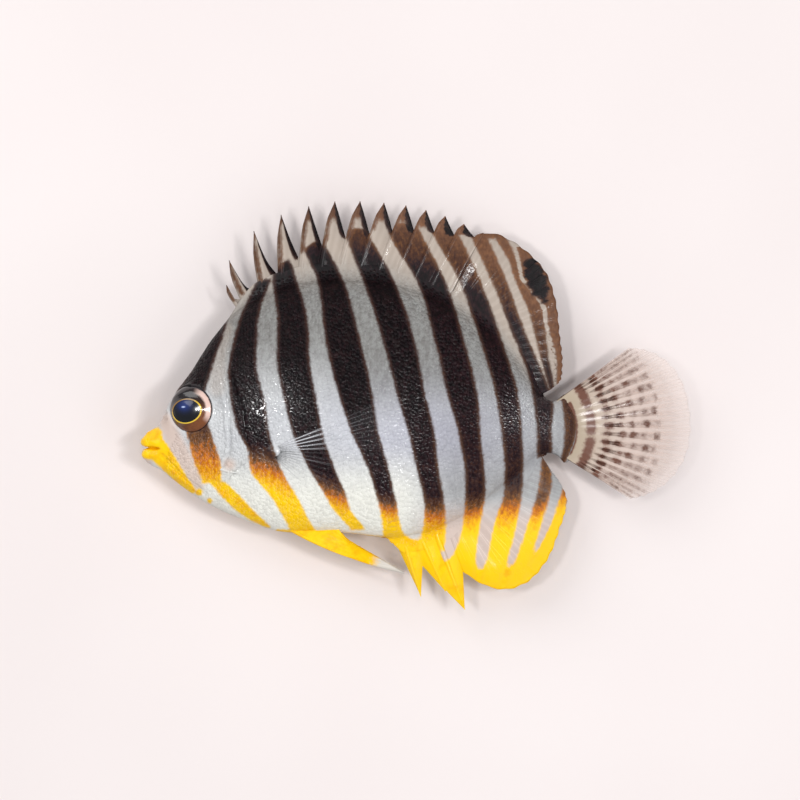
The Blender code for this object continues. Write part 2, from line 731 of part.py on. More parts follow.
def pectoral_columns(spread, rays, shorter, spare):
    """Return the columns of a pectoral fin, grown by spare on every side."""
    columns = []
    turns = np.linspace(*spread, 2 * rays + 1)
    for k, turn in enumerate(turns):
        angle = math.radians(turn)
        along = np.array((math.cos(angle), math.sin(angle)))
        outward = np.array((-along[1], along[0])) * (int(k == len(turns) - 1) - int(k == 0))
        hub = np.array(PECTORAL_HUB) + outward * spare
        root = hub + along * (PECTORAL_ROOT_RADIUS - spare)
        end = hub + along * (pectoral_reach(turn) - shorter + spare)
        columns.append(column(root, end, RAY_ROWS))
    return columns


def pectoral_fin_left(name):
    """Return the spread left pectoral fin, which stands a little off the flank."""
    root_flank = flank(PECTORAL_HUB[0] + PECTORAL_ROOT_RADIUS, PECTORAL_HUB[1])

    def low(i, t, x, y):
        along = math.hypot(x - PECTORAL_HUB[0], y - PECTORAL_HUB[1])
        rise = GAP + PECTORAL_STAND * (along - PECTORAL_ROOT_RADIUS)
        here = flank(x, y)
        free = PECTORAL_FOLLOW * here + (1 - PECTORAL_FOLLOW) * root_flank
        return midplane(x) + max(here, free) + rise

    def high(i, t, x, y):
        taper = (PECTORAL_ROOT_THICKNESS - PECTORAL_THICKNESS) * (1 - t) ** 4
        ridge = RAY_RISE * (i % 2) * (1 - 0.5 * t)
        return low(i, t, x, y) + PECTORAL_THICKNESS + taper + ridge

    return slab(name, pectoral_columns(PECTORAL_SPREAD, PECTORAL_RAYS, 0.0, 0.0), low, high)


def folded_fin_floor(i, t, x, y):
    """Return the underside of the folded right pectoral fin, on the floor or on the flank."""
    return max(0.0, midplane(x) - flank(x, y) - GAP - PECTORAL_THICKNESS)


def pectoral_fin_right(name):
    """Return the right pectoral fin, folded flat between the flank and the floor."""

    def high(i, t, x, y):
        return folded_fin_floor(i, t, x, y) + PECTORAL_THICKNESS - FOLDED_GROOVE * ((i + 1) % 2)

    columns = pectoral_columns(PECTORAL_FOLDED, FOLDED_RAYS, FOLDED_SHORTER, 0.0)
    return slab(name, columns, folded_fin_floor, high)


def pectoral_bed(name):
    """Return the space that the folded pectoral fin needs in the right flank."""
    return slab(
        name,
        pectoral_columns(PECTORAL_FOLDED, FOLDED_RAYS, FOLDED_SHORTER, GAP),
        lambda i, t, x, y: -1.0,
        lambda i, t, x, y: folded_fin_floor(i, t, x, y) + PECTORAL_THICKNESS + GAP,
    )


def keel(x, out):
    """Return the y of the belly at a distance from the middle plane."""
    share = min(out / WIDTH(x), 1.0)
    level = LEVEL(x)
    return level - (level - BELLY(x)) * (1 - share**LOWER_ROUNDNESS) ** (1 / LOWER_ROUNDNESS)


def pelvic_fin(name, side):
    """Return a pelvic fin, a blade that trails back from under the belly to a long tip."""
    count = 2 * PELVIC_RAYS + 1
    columns = []
    for share in np.linspace(0.0, 1.0, count):
        root_x = PELVIC_ROOT[0] + (PELVIC_ROOT[1] - PELVIC_ROOT[0]) * share
        root = root_x, keel(root_x, PELVIC_OUT[0]) - GAP
        shrink = share**0.6
        end = np.array(PELVIC_TIP) * (1 - shrink) + np.array(PELVIC_BACK) * shrink
        columns.append(column(root, end, RAY_ROWS, (0.0, -PELVIC_BOW * (1 - share))))

    def middle(t, x):
        return midplane(x) + side * (PELVIC_OUT[0] + (PELVIC_OUT[1] - PELVIC_OUT[0]) * t)

    def half(i, t):
        membrane = PELVIC_HALF[0] + (PELVIC_HALF[1] - PELVIC_HALF[0]) * t
        ridge = SPINE_HALF - ROOT_HALF if i < 2 else RAY_RISE * (i % 2)
        return membrane + ridge * (1 - t) * min(1.0, i)

    return slab(
        name,
        columns,
        lambda i, t, x, y: middle(t, x) - half(i, t),
        lambda i, t, x, y: middle(t, x) + half(i, t),
    )


def build():
    """Make every piece of the fish."""
    clear_scene()
    flesh = paint("barred_flesh", (0.55, 0.56, 0.54), 0.35)
    muzzle = paint("yellow_muzzle", (0.9, 0.55, 0.03), 0.35)
    membrane = paint("fin_membrane", (0.35, 0.24, 0.16), 0.45)
    yellow_fin = paint("yellow_fin", (0.92, 0.62, 0.04), 0.45)
    clear_fin = paint("clear_fin", (0.75, 0.66, 0.6), 0.3)
    eye = paint("eye", (0.02, 0.02, 0.03), 0.05)
    finish(head("head"), flesh)
    finish(lower_jaw("lower_jaw"), muzzle)
    for side, word in ((1, "left"), (-1, "right")):
        finish(gill_cover(f"gill_cover_{word}", side), flesh)
        finish(eyeball(f"eye_{word}", side), eye)
        finish(pelvic_fin(f"pelvic_fin_{word}", side), yellow_fin)
    finish(pectoral_fin_left("pectoral_fin_left"), clear_fin)
    finish(pectoral_fin_right("pectoral_fin_right"), clear_fin)
    finish(torso("torso"), flesh)
    finish(tail_stalk("tail_stalk"), flesh)
    finish(dorsal_fin_spiny("dorsal_fin_spiny"), membrane)
    finish(anal_fin_spiny("anal_fin_spiny"), yellow_fin)
    for name, contour, away, split, edge, rays, material in (
        ("dorsal_fin_soft", BACK, GAP, DORSAL_SPLIT_X, SOFT_DORSAL_EDGE, DORSAL_RAYS, membrane),
        ("anal_fin_soft", BELLY, -GAP, ANAL_SPLIT_X, SOFT_ANAL_EDGE, ANAL_RAYS, yellow_fin),
    ):
        finish(soft_fin(name, contour, away, split + GAP, edge, rays), material)
    finish(caudal_fin("caudal_fin"), clear_fin)


build()
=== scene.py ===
"""Looks of a young multibarred angelfish, 62 mm long, lying still on its right side.

Lengths in the classes are millimetres, in the frame of the solids: +X to the tail, +Y to the back
and +Z up, towards the fish's left side. Meshes and materials are written in metres.
"""

import logging
import math
from collections.abc import Sequence
from dataclasses import dataclass, field
from enum import Enum

import bpy
import numpy as np
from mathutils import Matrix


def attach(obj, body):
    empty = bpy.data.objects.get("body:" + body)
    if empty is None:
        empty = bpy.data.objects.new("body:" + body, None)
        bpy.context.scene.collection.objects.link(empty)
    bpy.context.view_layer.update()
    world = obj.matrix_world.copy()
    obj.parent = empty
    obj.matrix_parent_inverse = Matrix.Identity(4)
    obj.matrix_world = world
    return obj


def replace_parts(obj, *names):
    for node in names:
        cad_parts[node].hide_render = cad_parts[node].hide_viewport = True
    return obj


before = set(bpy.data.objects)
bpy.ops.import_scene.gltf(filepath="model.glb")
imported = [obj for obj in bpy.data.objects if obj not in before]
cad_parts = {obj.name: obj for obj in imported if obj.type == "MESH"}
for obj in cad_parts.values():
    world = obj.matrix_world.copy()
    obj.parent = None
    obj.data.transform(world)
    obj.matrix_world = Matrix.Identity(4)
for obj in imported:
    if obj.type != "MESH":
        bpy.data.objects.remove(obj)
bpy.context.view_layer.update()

MM = 0.001
UV_NAME = "OFBake"
PATCH = 0.003
LOG = logging.getLogger("angelfish")

Array = np.ndarray
Material = bpy.types.Material
Mesh = bpy.types.Mesh
Node = bpy.types.Node
Object = bpy.types.Object
Socket = bpy.types.NodeSocket
Tree = bpy.types.NodeTree


class Side(Enum):
    """A side of the fish, with its sign along Z."""

    LEFT = 1
    RIGHT = -1

    @property
    def word(self) -> str:
        """Name of the side in piece names."""
        return self.name.lower()


class Run:
    """A smooth line through knots of x and y, level beyond its ends."""

    def __init__(self, *knots: tuple[float, float]) -> None:
        """Keep the knots in rising order, with a slope at each."""
        self.x, self.y = np.array(sorted(knots), float).T
        self.slope = np.gradient(self.y, self.x)

    def __call__(self, x: Array | float) -> Array:
        """Return y at x."""
        x = np.clip(x, self.x[0], self.x[-1])
        k = np.clip(np.searchsorted(self.x, x) - 1, 0, len(self.x) - 2)
        step = self.x[k + 1] - self.x[k]
        t = (x - self.x[k]) / step
        start = (1 + 2 * t) * (1 - t) ** 2 * self.y[k] + t * (1 - t) ** 2 * step * self.slope[k]
        rest = t * t * (3 - 2 * t) * self.y[k + 1] + t * t * (t - 1) * step * self.slope[k + 1]
        return start + rest


def ease(x: Array, low: float, high: float) -> Array:
    """Return a smooth step from 0 at low to 1 at high, which may lie below low."""
    t = np.clip((np.asarray(x, float) - low) / (high - low), 0, 1)
    return t * t * (3 - 2 * t)


def hump(x: Array, width: float) -> Array:
    """Return a bell of height 1 about 0 that falls to a third at width."""
    return np.exp(-((np.asarray(x, float) / width) ** 2))


def unit(vectors: Array) -> Array:
    """Return vectors of length 1 along the last axis."""
    return vectors / np.maximum(np.linalg.norm(vectors, axis=-1, keepdims=True), 1e-12)


@dataclass(frozen=True)
class Stroke:
    """A painted or raised line that runs through (x, y, radius) stops."""

    stops: tuple[tuple[float, float, float], ...]

    def inside(self, x: Array, y: Array) -> Array:
        """Return how deep each place lies within the line, below 0 outside it.

        Args:
            x: Places along the fish.
            y: Places across the fish.

        Returns:
            Depths within the line.
        """
        stops = self.stops if len(self.stops) > 1 else self.stops * 2
        best = np.full(np.shape(x), -1e3)
        for (ax, ay, ar), (bx, by, br) in zip(stops, stops[1:]):
            length = max((bx - ax) ** 2 + (by - ay) ** 2, 1e-9)
            t = np.clip(((x - ax) * (bx - ax) + (y - ay) * (by - ay)) / length, 0, 1)
            away = np.hypot(x - ax - t * (bx - ax), y - ay - t * (by - ay))
            best = np.maximum(best, ar + t * (br - ar) - away)
        return best


@dataclass(frozen=True)
class BodyForm:
    """Trunk and head as one smooth form about the fish's middle plane."""

    back: Run = Run(
        (-30.4, -3.1), (-29.9, -2.7), (-28.9, -1.95), (-27.7, 0.45), (-26.6, 2.2), (-25.5, 3.7),
        (-23.2, 7.25), (-21, 9.95), (-17.6, 12.3), (-13, 13.9), (-7, 14.3), (0, 13),
        (6.1, 9.9), (9.5, 7), (11.8, 4.3), (13.8, 1.5), (15.3, 0.65), (17.9, 1.3),
    )
    belly: Run = Run(
        (-30.4, -6.2), (-29.9, -6.75), (-28.9, -7.25), (-27.7, -8.2), (-23.2, -11.3),
        (-19.8, -12.8), (-16.5, -14), (-8, -14.4), (-2.7, -14.9), (1.6, -14.2), (7.2, -11.2),
        (12.3, -6.8), (13.8, -5.6), (15.3, -5.45), (17.9, -6.5),
    )
    level: Run = Run(
        (-30.4, -4.8), (-28, -3.8), (-25, -1.6), (-20, -0.8), (0, -0.8), (8, -1.5),
        (15, -2.4), (17.9, -2.6),
    )
    width: Run = Run(
        (-30.4, 0.95), (-29.5, 1.4), (-28.6, 1.9), (-27.5, 2.6), (-26, 3.2), (-24, 3.9),
        (-22, 4.5), (-20, 5.05), (-17, 5.55), (-13, 5.8), (-8, 5.8), (-3, 5.45),
        (2, 4.75), (6, 3.85), (10, 2.9), (13, 2.2), (15.5, 1.75), (17.9, 1.2),
    )
    gill_line: Run = Run(
        (-17, -22), (-9, -21.4), (-7.3, -20.4), (-6.4, -19.2), (-5.3, -18.75),
        (-3.9, -19), (0.6, -19.85), (2.9, -20.7), (7, -20.5), (17, -19.4),
    )
    plane_z: float = 5.4
    sink_from: float = 8.0
    sink_rate: float = 0.003
    upper_roundness: float = 1.95
    lower_roundness: float = 2.15

    def midplane(self, x: Array) -> Array:
        """Return the height of the middle plane."""
        return self.plane_z - self.sink_rate * np.maximum(0, x - self.sink_from) ** 2

    def flank(self, x: Array, y: Array, inset: float = 0.0) -> Array:
        """Return the half thickness at places of the middle plane.

        Args:
            x: Places along the fish.
            y: Places across the fish.
            inset: How far the form is drawn in all round.

        Returns:
            Half thicknesses, 0 outside the form.
        """
        level = self.level(x)
        above = y > level
        reach = np.where(above, self.back(x) - level, level - self.belly(x)) - inset
        power = np.where(above, self.upper_roundness, self.lower_roundness)
        share = np.clip(np.abs(y - level) / reach, 0, 1)
        return (self.width(x) - inset) * (1 - share**power) ** (1 / power)

    def contour_point(self, contour: Run, x: Array, away: Array | float) -> Array:
        """Return points square off a contour.

        Args:
            contour: The back or the belly.
            x: Where the points start along the contour.
            away: How far they lie above it.

        Returns:
            Points as x and y.
        """
        slope = (contour(x + 0.05) - contour(x - 0.05)) / 0.1
        length = np.hypot(1, slope)
        return np.stack([x - away * slope / length, contour(x) + away / length], -1)


FORM = BodyForm()


@dataclass(frozen=True)
class Bar:
    """A dark bar: (y, x of its middle, breadth) from its top to its foot."""

    stops: tuple[tuple[float, float, float], ...]
    slant: float = 0.95

    def inside(self, x: Array, y: Array) -> Array:
        """Return how deep each place lies within the bar, below 0 outside it.

        Args:
            x: Places along the fish.
            y: Places across the fish.

        Returns:
            Depths within the bar.
        """
        middle = Run(*((s[0], s[1]) for s in self.stops))
        breadth = Run(*((s[0], s[2]) for s in self.stops))
        heights = [s[0] for s in self.stops]
        across = breadth(y) / 2 - np.abs(x - middle(y)) * self.slant
        return np.minimum(across, np.minimum(y - min(heights), max(heights) - y) + 0.3)


@dataclass(frozen=True)
class Markings:
    """The fish's coat of colours, as fields over the middle plane."""

    bars: tuple[Bar, ...] = (
        Bar(((10.2, -21.35, 0.5), (9.1, -21.95, 1.3), (4, -24.2, 2.5), (0.5, -25.5, 3.4),
             (-3.2, -24.3, 2.7), (-6.3, -23.4, 2.9), (-8.4, -22.9, 2.1))),
        Bar(((14, -17.2, 1.6), (11.3, -18.3, 1.9), (7.4, -19.1, 2.6), (4, -19.4, 3.2),
             (0.6, -18.8, 3.7), (-2.7, -18.2, 3.4), (-5, -17.3, 2.9), (-7.3, -16.7, 3.4),
             (-10.6, -14.5, 2.8), (-12.9, -13.3, 2.6), (-15, -12.2, 2.9))),
        Bar(((17.6, -15.2, 1.2), (14.2, -14.8, 2.7), (10.8, -14, 3.2), (4, -13.6, 3.6),
             (0.6, -12.9, 3.5), (-2.7, -12.2, 3.3), (-7.3, -10.4, 2.8), (-9.8, -9.1, 2.4),
             (-11.8, -8.2, 1.8), (-13.7, -6.6, 1.6))),
        Bar(((22, -12.8, 1.8), (18.7, -11.8, 2.5), (14.2, -9.7, 2.9), (7.4, -8.2, 3.8),
             (0.6, -6.6, 3.6), (-2.7, -5.8, 3), (-7.1, -4.2, 2.3), (-10.6, -3.3, 2),
             (-14.6, -2.5, 1.9), (-21, -0.3, 1.8))),
        Bar(((23, -8.4, 2.2), (18.7, -6.4, 2.8), (14.2, -4.3, 3.4), (7.4, -2, 3.5),
             (0.6, -0.4, 3.1), (-2.7, 0.5, 2.9), (-7.3, 1.3, 2.4), (-10.6, 2, 2.2),
             (-15.1, 1.9, 2.6), (-18, 1.35, 2.4), (-22, 0.9, 2.4))),
        Bar(((23, -2.7, 3.2), (18.7, -0.9, 3.6), (14.2, 1.6, 3.2), (7.4, 3.7, 3.3),
             (0.6, 5.3, 3.2), (-2.7, 5.9, 2.5), (-10.6, 6.6, 2.2), (-15.1, 5.9, 2),
             (-17.5, 5.3, 2.8), (-20, 4.6, 3.9))),
        Bar(((22, 2, 2.7), (18.7, 3.7, 2.8), (14.2, 6, 2.4), (7.4, 8.4, 2.5),
             (0.6, 10.3, 2.5), (-2.7, 10.7, 2.3), (-7.3, 11, 2.1), (-10.6, 10.8, 2.1),
             (-12.9, 10.2, 2.4), (-15.1, 9.7, 2.4), (-17.9, 9, 2.2), (-20, 8.4, 2.2))),
        Bar(((21, 6.3, 1.8), (18.7, 7.3, 1.8), (14.2, 9.3, 1.7), (7.4, 11.9, 1.6),
             (4, 13.3, 1.7), (0.6, 14.3, 2.2), (-2.7, 14.4, 1.7), (-5.6, 14.5, 1.7))),
        Bar(((20, 8.9, 1.6), (16.4, 10.9, 1), (14.2, 11.6, 0.9), (10.8, 13.5, 1.7),
             (7.4, 14.1, 1.2), (2, 15.3, 0.7))),
        Bar(((1.6, 16.6, 1.1), (-0.5, 17.2, 1.4), (-2.7, 17.4, 1.4), (-5, 17, 1),
             (-6.8, 16.4, 0.7))),
        Bar(((-5.9, 14.3, 0.4), (-7.3, 14.6, 1.1), (-10.6, 14.2, 1.5), (-12.9, 13.5, 1.5),
             (-15.1, 12.8, 1.5), (-17.9, 12, 1.7), (-20, 11.3, 2))),
        Bar(((-8.8, 17, 0.5), (-10.6, 16.6, 0.9), (-12.9, 16.1, 1.3), (-15.1, 15.3, 1.7),
             (-17, 14.6, 2.2), (-19, 13.5, 3.6))),
    )
    gold_strokes: tuple[Stroke, ...] = (
        Stroke(((-31.5, -3.9, 1.2), (-29.8, -3.8, 1.4), (-29.15, -3.1, 0.68))),
        Stroke(((-29.3, -4.6, 1.2), (-28.85, -5.2, 1.2))),
        Stroke(((-28.9, -5.2, 1.3), (-27.7, -6.6, 1.05), (-26.4, -8.3, 0.72), (-25.2, -9.5, 0.45))),
        Stroke(((-31, -5.4, 0.4), (-29, -5.6, 0.8))),
        Stroke(((-24.4, -9.7, 0.42),)),
        Stroke(((-23.2, -10.7, 0.3),)),
        Stroke(((-22.6, -8.6, 0.5), (-21.6, -9.3, 0.75), (-20, -11, 0.82), (-18.3, -12.5, 0.6),
                (-16.6, -13.6, 0.25))),
        Stroke(((-15.5, -14.15, 0.3), (-8, -14.5, 0.16), (-2.4, -15, 0.2))),
    )
    blush_strokes: tuple[Stroke, ...] = (
        Stroke(((-28.2, -1.6, 0.8), (-26.7, -4.9, 1.1), (-24.6, -8.6, 0.9))),
        Stroke(((-20.9, -6.6, 0.6),)),
        Stroke(((-31, -6, 0.9), (-30.2, -6.4, 0.5))),
    )
    cream_stroke: Stroke = Stroke(((-21.4, 8.6, 0.9), (-22.3, 5.8, 1.1), (-22.3, 2, 1)))
    turn_line: Run = Run(
        (-25, -5.3), (-23, -5.3), (-21, -6.3), (-16.5, -6.9), (-13, -8.7), (-8.9, -10.1),
        (-3.3, -11.4), (2, -12.3), (6.5, -11.8), (10.6, -11.2), (14, -11.4), (16.2, -10),
    )
    turn_reach: Run = Run((-25, 18), (-23, 16), (-21, 11), (-16.5, 8), (-8.9, 7),
                          (-3.3, 6), (2, 8), (6.5, 7.8), (10.6, 10), (14, 8))
    brown_line: Run = Run((-16, 17), (-11, 17.1), (-5, 16.5), (1, 14.9), (7, 12.2),
                          (11.5, 8.5), (14, 4.5))
    gold_line: Run = Run((-3, -14.6), (0, -15.2), (2.5, -17.2), (4.5, -18), (9, -18.6),
                         (12, -17.8), (14, -16.5), (16, -13))
    gold_from: float = -3.2
    wet_spots: tuple[tuple[float, float, float, float, float], ...] = (
        (-22, 0, 1.6, 3, 1), (-16, -0.3, 4.4, 3.6, 1), (-16, -5.4, 2.2, 1.1, 1),
        (-3, -3.5, 4, 6, 0.5), (12.8, -1, 4, 2.6, 1), (21.8, -0.7, 3.4, 1.6, 1),
        (-5, 17.3, 3.4, 1.3, 0.9), (7.4, 15.2, 3.4, 2.6, 0.9), (11.2, 18, 1.8, 1.3, 0.9),
        (10.1, -18.6, 2.6, 0.9, 1), (0, -17.6, 0.6, 1.2, 0.8), (3.9, -19.7, 0.7, 1.2, 0.8),
    )

    def read(self, x: Array, y: Array) -> dict[str, Array]:
        """Return every field of colour at places of the middle plane.

        Args:
            x: Places along the fish.
            y: Places across the fish.

        Returns:
            Arrays by field name: bar and gold in millimetres inside, stage from 0 for black
                to 3 for yellow, and the rest as shares.
        """
        bar = np.max([b.inside(x, y) for b in self.bars], 0)
        low = 3 * ease(0.5 + (self.turn_line(x) - y) / self.turn_reach(x), 0, 1)
        low = np.maximum(low, 0.22 * ease(y, 3, -8) + 0.2 * ease(x, -4, 10))
        above = y - self.brown_line(x)
        high = 0.8 * ease(above, -0.9, 2.4)
        high = np.maximum(high, ease(x, 13, 13.9) * ease(y, -5, -7))
        high = np.maximum(high, 0.75 * ease(x, 15.6, 17))
        stage = np.maximum(np.clip(low, 0, 3), high)
        gold = np.max([s.inside(x, y) for s in self.gold_strokes], 0)
        fin_gold = np.minimum(self.gold_line(x) - y, (x - self.gold_from) * 0.8)
        near = np.maximum(1 - np.abs(fin_gold - bar) / 1.3, 0) * ease(stage, 2.2, 2.7)
        joined = np.maximum(fin_gold, bar) + 0.32 * near**2 - 2 * (near <= 0)
        fin_gold = np.maximum(fin_gold, joined)
        blush = np.max([ease(s.inside(x, y), -0.5, 0.5) for s in self.blush_strokes], 0)
        blush = np.maximum(blush, ease(y, -10, -14) * ease(x, -2, 4))
        rear = 0.65 * ease(x, -4, 5) * ease(y, -13.5, -9)
        rearward = ease(x, -10, -4)
        wet = [share * hump(np.hypot((x - at_x) / rx, (y - at_y) / ry), 1)
               for at_x, at_y, rx, ry, share in self.wet_spots]
        return {
            "bar": np.clip(bar, -2, 2),
            "stage": stage,
            "gold": np.clip(np.maximum(gold, fin_gold), -2, 2),
            "blush": blush,
            "cream": np.maximum(
                0.45 * ease(self.cream_stroke.inside(x, y), -0.5, 0.6),
                ease(y - FORM.back(x), -2, 3.6),
            ),
            "deep": np.maximum(ease(y, -2 - 3.5 * rearward, 9 - 4.5 * rearward), rear),
            "tan": 0.6 * ease(above, 2.2, 6.4) * ease(y, 6, 12),
            "wet": np.max(wet, 0),
            # A lilac sheen painted into the pale colour about the middle of the flank.
            "sheen": hump((x - 1) / 13, 1) * hump((y + 3) / 5, 1),
            "white": ease(y, -4, -11) * ease(x, 4, -3),
        }


MARKS = Markings()


def link(name: str, mesh: Mesh) -> Object:
    """Return a linked object of a mesh."""
    made = bpy.data.objects.new(name, mesh)
    bpy.context.scene.collection.objects.link(made)
    return made


def grid_faces(columns: int, rows: int, wrap: bool = False) -> Array:
    """Return the four-cornered faces of a grid of points.

    Args:
        columns: Number of columns.
        rows: Number of points in a column.
        wrap: Whether the last point of a column meets the first.

    Returns:
        Point numbers, four for each face.
    """
    i = np.arange(columns - 1)[:, None] * rows
    j = np.arange(rows if wrap else rows - 1)[None, :]
    after = (j + 1) % rows
    return np.stack([i + j, i + rows + j, i + rows + after, i + after], -1).reshape(-1, 4)


def mesh_piece(
    name: str, points: Array, faces: Sequence[Sequence[int]] = (),
    fields: dict[str, Array] | None = None, uv: Array | None = None,
    edges: Sequence[tuple[int, int]] = (), material: Material | None = None,
) -> Object:
    """Return an object of a mesh, shaded smooth.

    Args:
        name: Name of the piece.
        points: Points in millimetres.
        faces: Point numbers of each face.
        fields: Numbers or vectors at each point, by name.
        uv: A place on the piece's map for each corner, in the faces' order.
        edges: Pairs of point numbers, for a piece of lines.
        material: Finish of the piece.

    Returns:
        The linked object.
    """
    mesh = bpy.data.meshes.new(name)
    faces = [list(map(int, f)) for f in faces]
    mesh.from_pydata((np.asarray(points) * MM).tolist(), list(edges), faces)
    for key, values in (fields or {}).items():
        kind, word = ("FLOAT", "value") if np.ndim(values) == 1 else ("FLOAT_VECTOR", "vector")
        store = mesh.attributes.new(key, kind, "POINT").data
        store.foreach_set(word, np.asarray(values, np.float32).ravel())
    if uv is not None:
        mesh.uv_layers.new(name=UV_NAME).uv.foreach_set("vector", uv.astype(np.float32).ravel())
    if material:
        mesh.materials.append(material)
    mesh.shade_smooth()
    return link(name, mesh)


class Value:
    """An output of a node, whose arithmetic adds Math nodes to its tree."""

    def __init__(self, art: "Art", socket: Socket) -> None:
        """Keep the socket and the maker of its tree's nodes."""
        self.art, self.socket = art, socket

    def __add__(self, other: "Value | float") -> "Value":
        """Return the sum."""
        return self.art.math("ADD", self, other)

    def __mul__(self, other: "Value | float") -> "Value":
        """Return the product."""
        return self.art.math("MULTIPLY", self, other)

    def __sub__(self, other: "Value | float") -> "Value":
        """Return the difference."""
        return self.art.math("SUBTRACT", self, other)

    def __rsub__(self, other: float) -> "Value":
        """Return the difference from a number."""
        return self.art.math("SUBTRACT", other, self)

    def step(self, low: float, high: float) -> "Value":
        """Return a smooth step from 0 at low to 1 at high."""
        inputs = {"Value": self, "From Min": low, "From Max": high}
        return self.art.out("ShaderNodeMapRange", inputs, interpolation_type="SMOOTHSTEP")

    def ramp(self, *stops: tuple[float, tuple]) -> "Value":
        """Return the colour at this value between stops of a place and a colour."""
        node = self.art.put("ShaderNodeValToRGB", {"Fac": self})
        elements = node.color_ramp.elements
        elements.remove(elements[1])
        for k, (place, shade) in enumerate(stops):
            element = elements[0] if k == 0 else elements.new(place)
            element.position, element.color = place, shade
        return Value(self.art, node.outputs["Color"])


class Art:
    """Adds nodes to one tree."""

    def __init__(self, tree: Tree) -> None:
        """Keep the tree."""
        self.tree = tree

    def fill(self, node: Node, inputs: dict[str | int, object]) -> None:
        """Link or set a node's inputs, by name or number."""
        for key, value in inputs.items():
            if isinstance(value, Value):
                self.tree.links.new(value.socket, node.inputs[key])
            else:
                node.inputs[key].default_value = value

    def put(
        self, kind: str, inputs: dict[str | int, object] | None = None, **settings: object
    ) -> Node:
        """Add a node.

        Args:
            kind: Blender's name of the node.
            inputs: A value or a plain setting, by the input's name or number.
            **settings: Properties of the node itself.

        Returns:
            The node.
        """
        node = self.tree.nodes.new(kind)
        for key, value in settings.items():
            setattr(node, key, value)
        self.fill(node, inputs or {})
        return node

    def out(
        self, kind: str, inputs: dict[str | int, object] | None = None, name: str | int = 0,
        **settings: object,
    ) -> Value:
        """Add a node as put does and return one of its outputs, by name or number."""
        return Value(self, self.put(kind, inputs, **settings).outputs[name])

    def math(self, operation: str, *values: Value | float) -> Value:
        """Return the result of a Math node."""
        return self.out("ShaderNodeMath", dict(enumerate(values)), operation=operation)

    def mix(self, share: Value, first: object, second: object) -> Value:
        """Return a mix of two colours, all of the second where share is 1."""
        return self.out("ShaderNodeMix", {0: share, 6: first, 7: second}, 2, data_type="RGBA")

    def field(self, name: str) -> Value:
        """Return a field that the mesh carries, in a shader."""
        return self.out("ShaderNodeAttribute", name="Fac", attribute_name=name)

    def carried(self, name: str, kind: str = "FLOAT") -> Value:
        """Return a field that the mesh carries, in geometry nodes."""
        inputs = {"Name": name}
        return self.out("GeometryNodeInputNamedAttribute", inputs, "Attribute", data_type=kind)

    def noise(self, size_mm: float, detail: float = 2.0, stretch: float = 1.0) -> Value:
        """Return noise on the piece's own coordinates.

        Args:
            size_mm: Rough size of one patch.
            detail: How many finer layers lie on it.
            stretch: How much longer a patch is across the fish than along it.

        Returns:
            A value about 0.5.
        """
        place = self.out("ShaderNodeTexCoord", name="Object")
        scale = 1 / (size_mm * MM)
        squeezed = {"Vector": place, "Scale": (scale, scale / stretch, scale)}
        place = self.out("ShaderNodeMapping", squeezed)
        inputs = {"Vector": place, "Scale": 1, "Detail": detail, "Roughness": 0.6}
        return self.out("ShaderNodeTexNoise", inputs, "Fac")

    def given(self) -> dict[str, Value]:
        """Return a group's own inputs by name."""
        return self.named(self.put("NodeGroupInput"))

    def group(self, tree: Tree, **inputs: float) -> dict[str, Value]:
        """Place a shader group with its inputs and return its outputs by name."""
        return self.named(self.put("ShaderNodeGroup", node_tree=tree), inputs)

    def named(
        self, node: Node, inputs: dict[str, float] | None = None
    ) -> dict[str, Value]:
        """Fill a node's inputs and return its outputs by name."""
        self.fill(node, inputs or {})
        return {s.name: Value(self, s) for s in node.outputs if s.name}

    def close(self, **values: Value) -> Tree:
        """Link a group's outputs and return its tree."""
        self.put("NodeGroupOutput", values)
        return self.tree

    def dress(self, geometry: Value, finish: Value) -> Tree:
        """End a tree of geometry nodes with its material and return it."""
        inputs = {"Geometry": geometry, "Material": finish}
        return self.close(Geometry=self.out("GeometryNodeSetMaterial", inputs))


def open_tree(name: str, kind: str, inputs: dict[str, str], outputs: dict[str, str]) -> Art:
    """Start a group of nodes.

    Args:
        name: Name of the group.
        kind: Blender's name of the kind of tree.
        inputs: Kinds of socket by input name.
        outputs: Kinds of socket by output name.

    Returns:
        The maker of its nodes.
    """
    tree = bpy.data.node_groups.new(name, kind)
    for way, sockets in (("INPUT", inputs), ("OUTPUT", outputs)):
        for key, socket in sockets.items():
            tree.interface.new_socket(key, in_out=way, socket_type=f"NodeSocket{socket}")
    return Art(tree)


def colour(red: float, green: float, blue: float) -> tuple[float, float, float, float]:
    """Return a colour for a shader from its values on a screen, 0 to 255."""
    values = [v / 255 for v in (red, green, blue)]
    linear = [v / 12.92 if v <= 0.04045 else ((v + 0.055) / 1.055) ** 2.4 for v in values]
    return (*linear, 1)


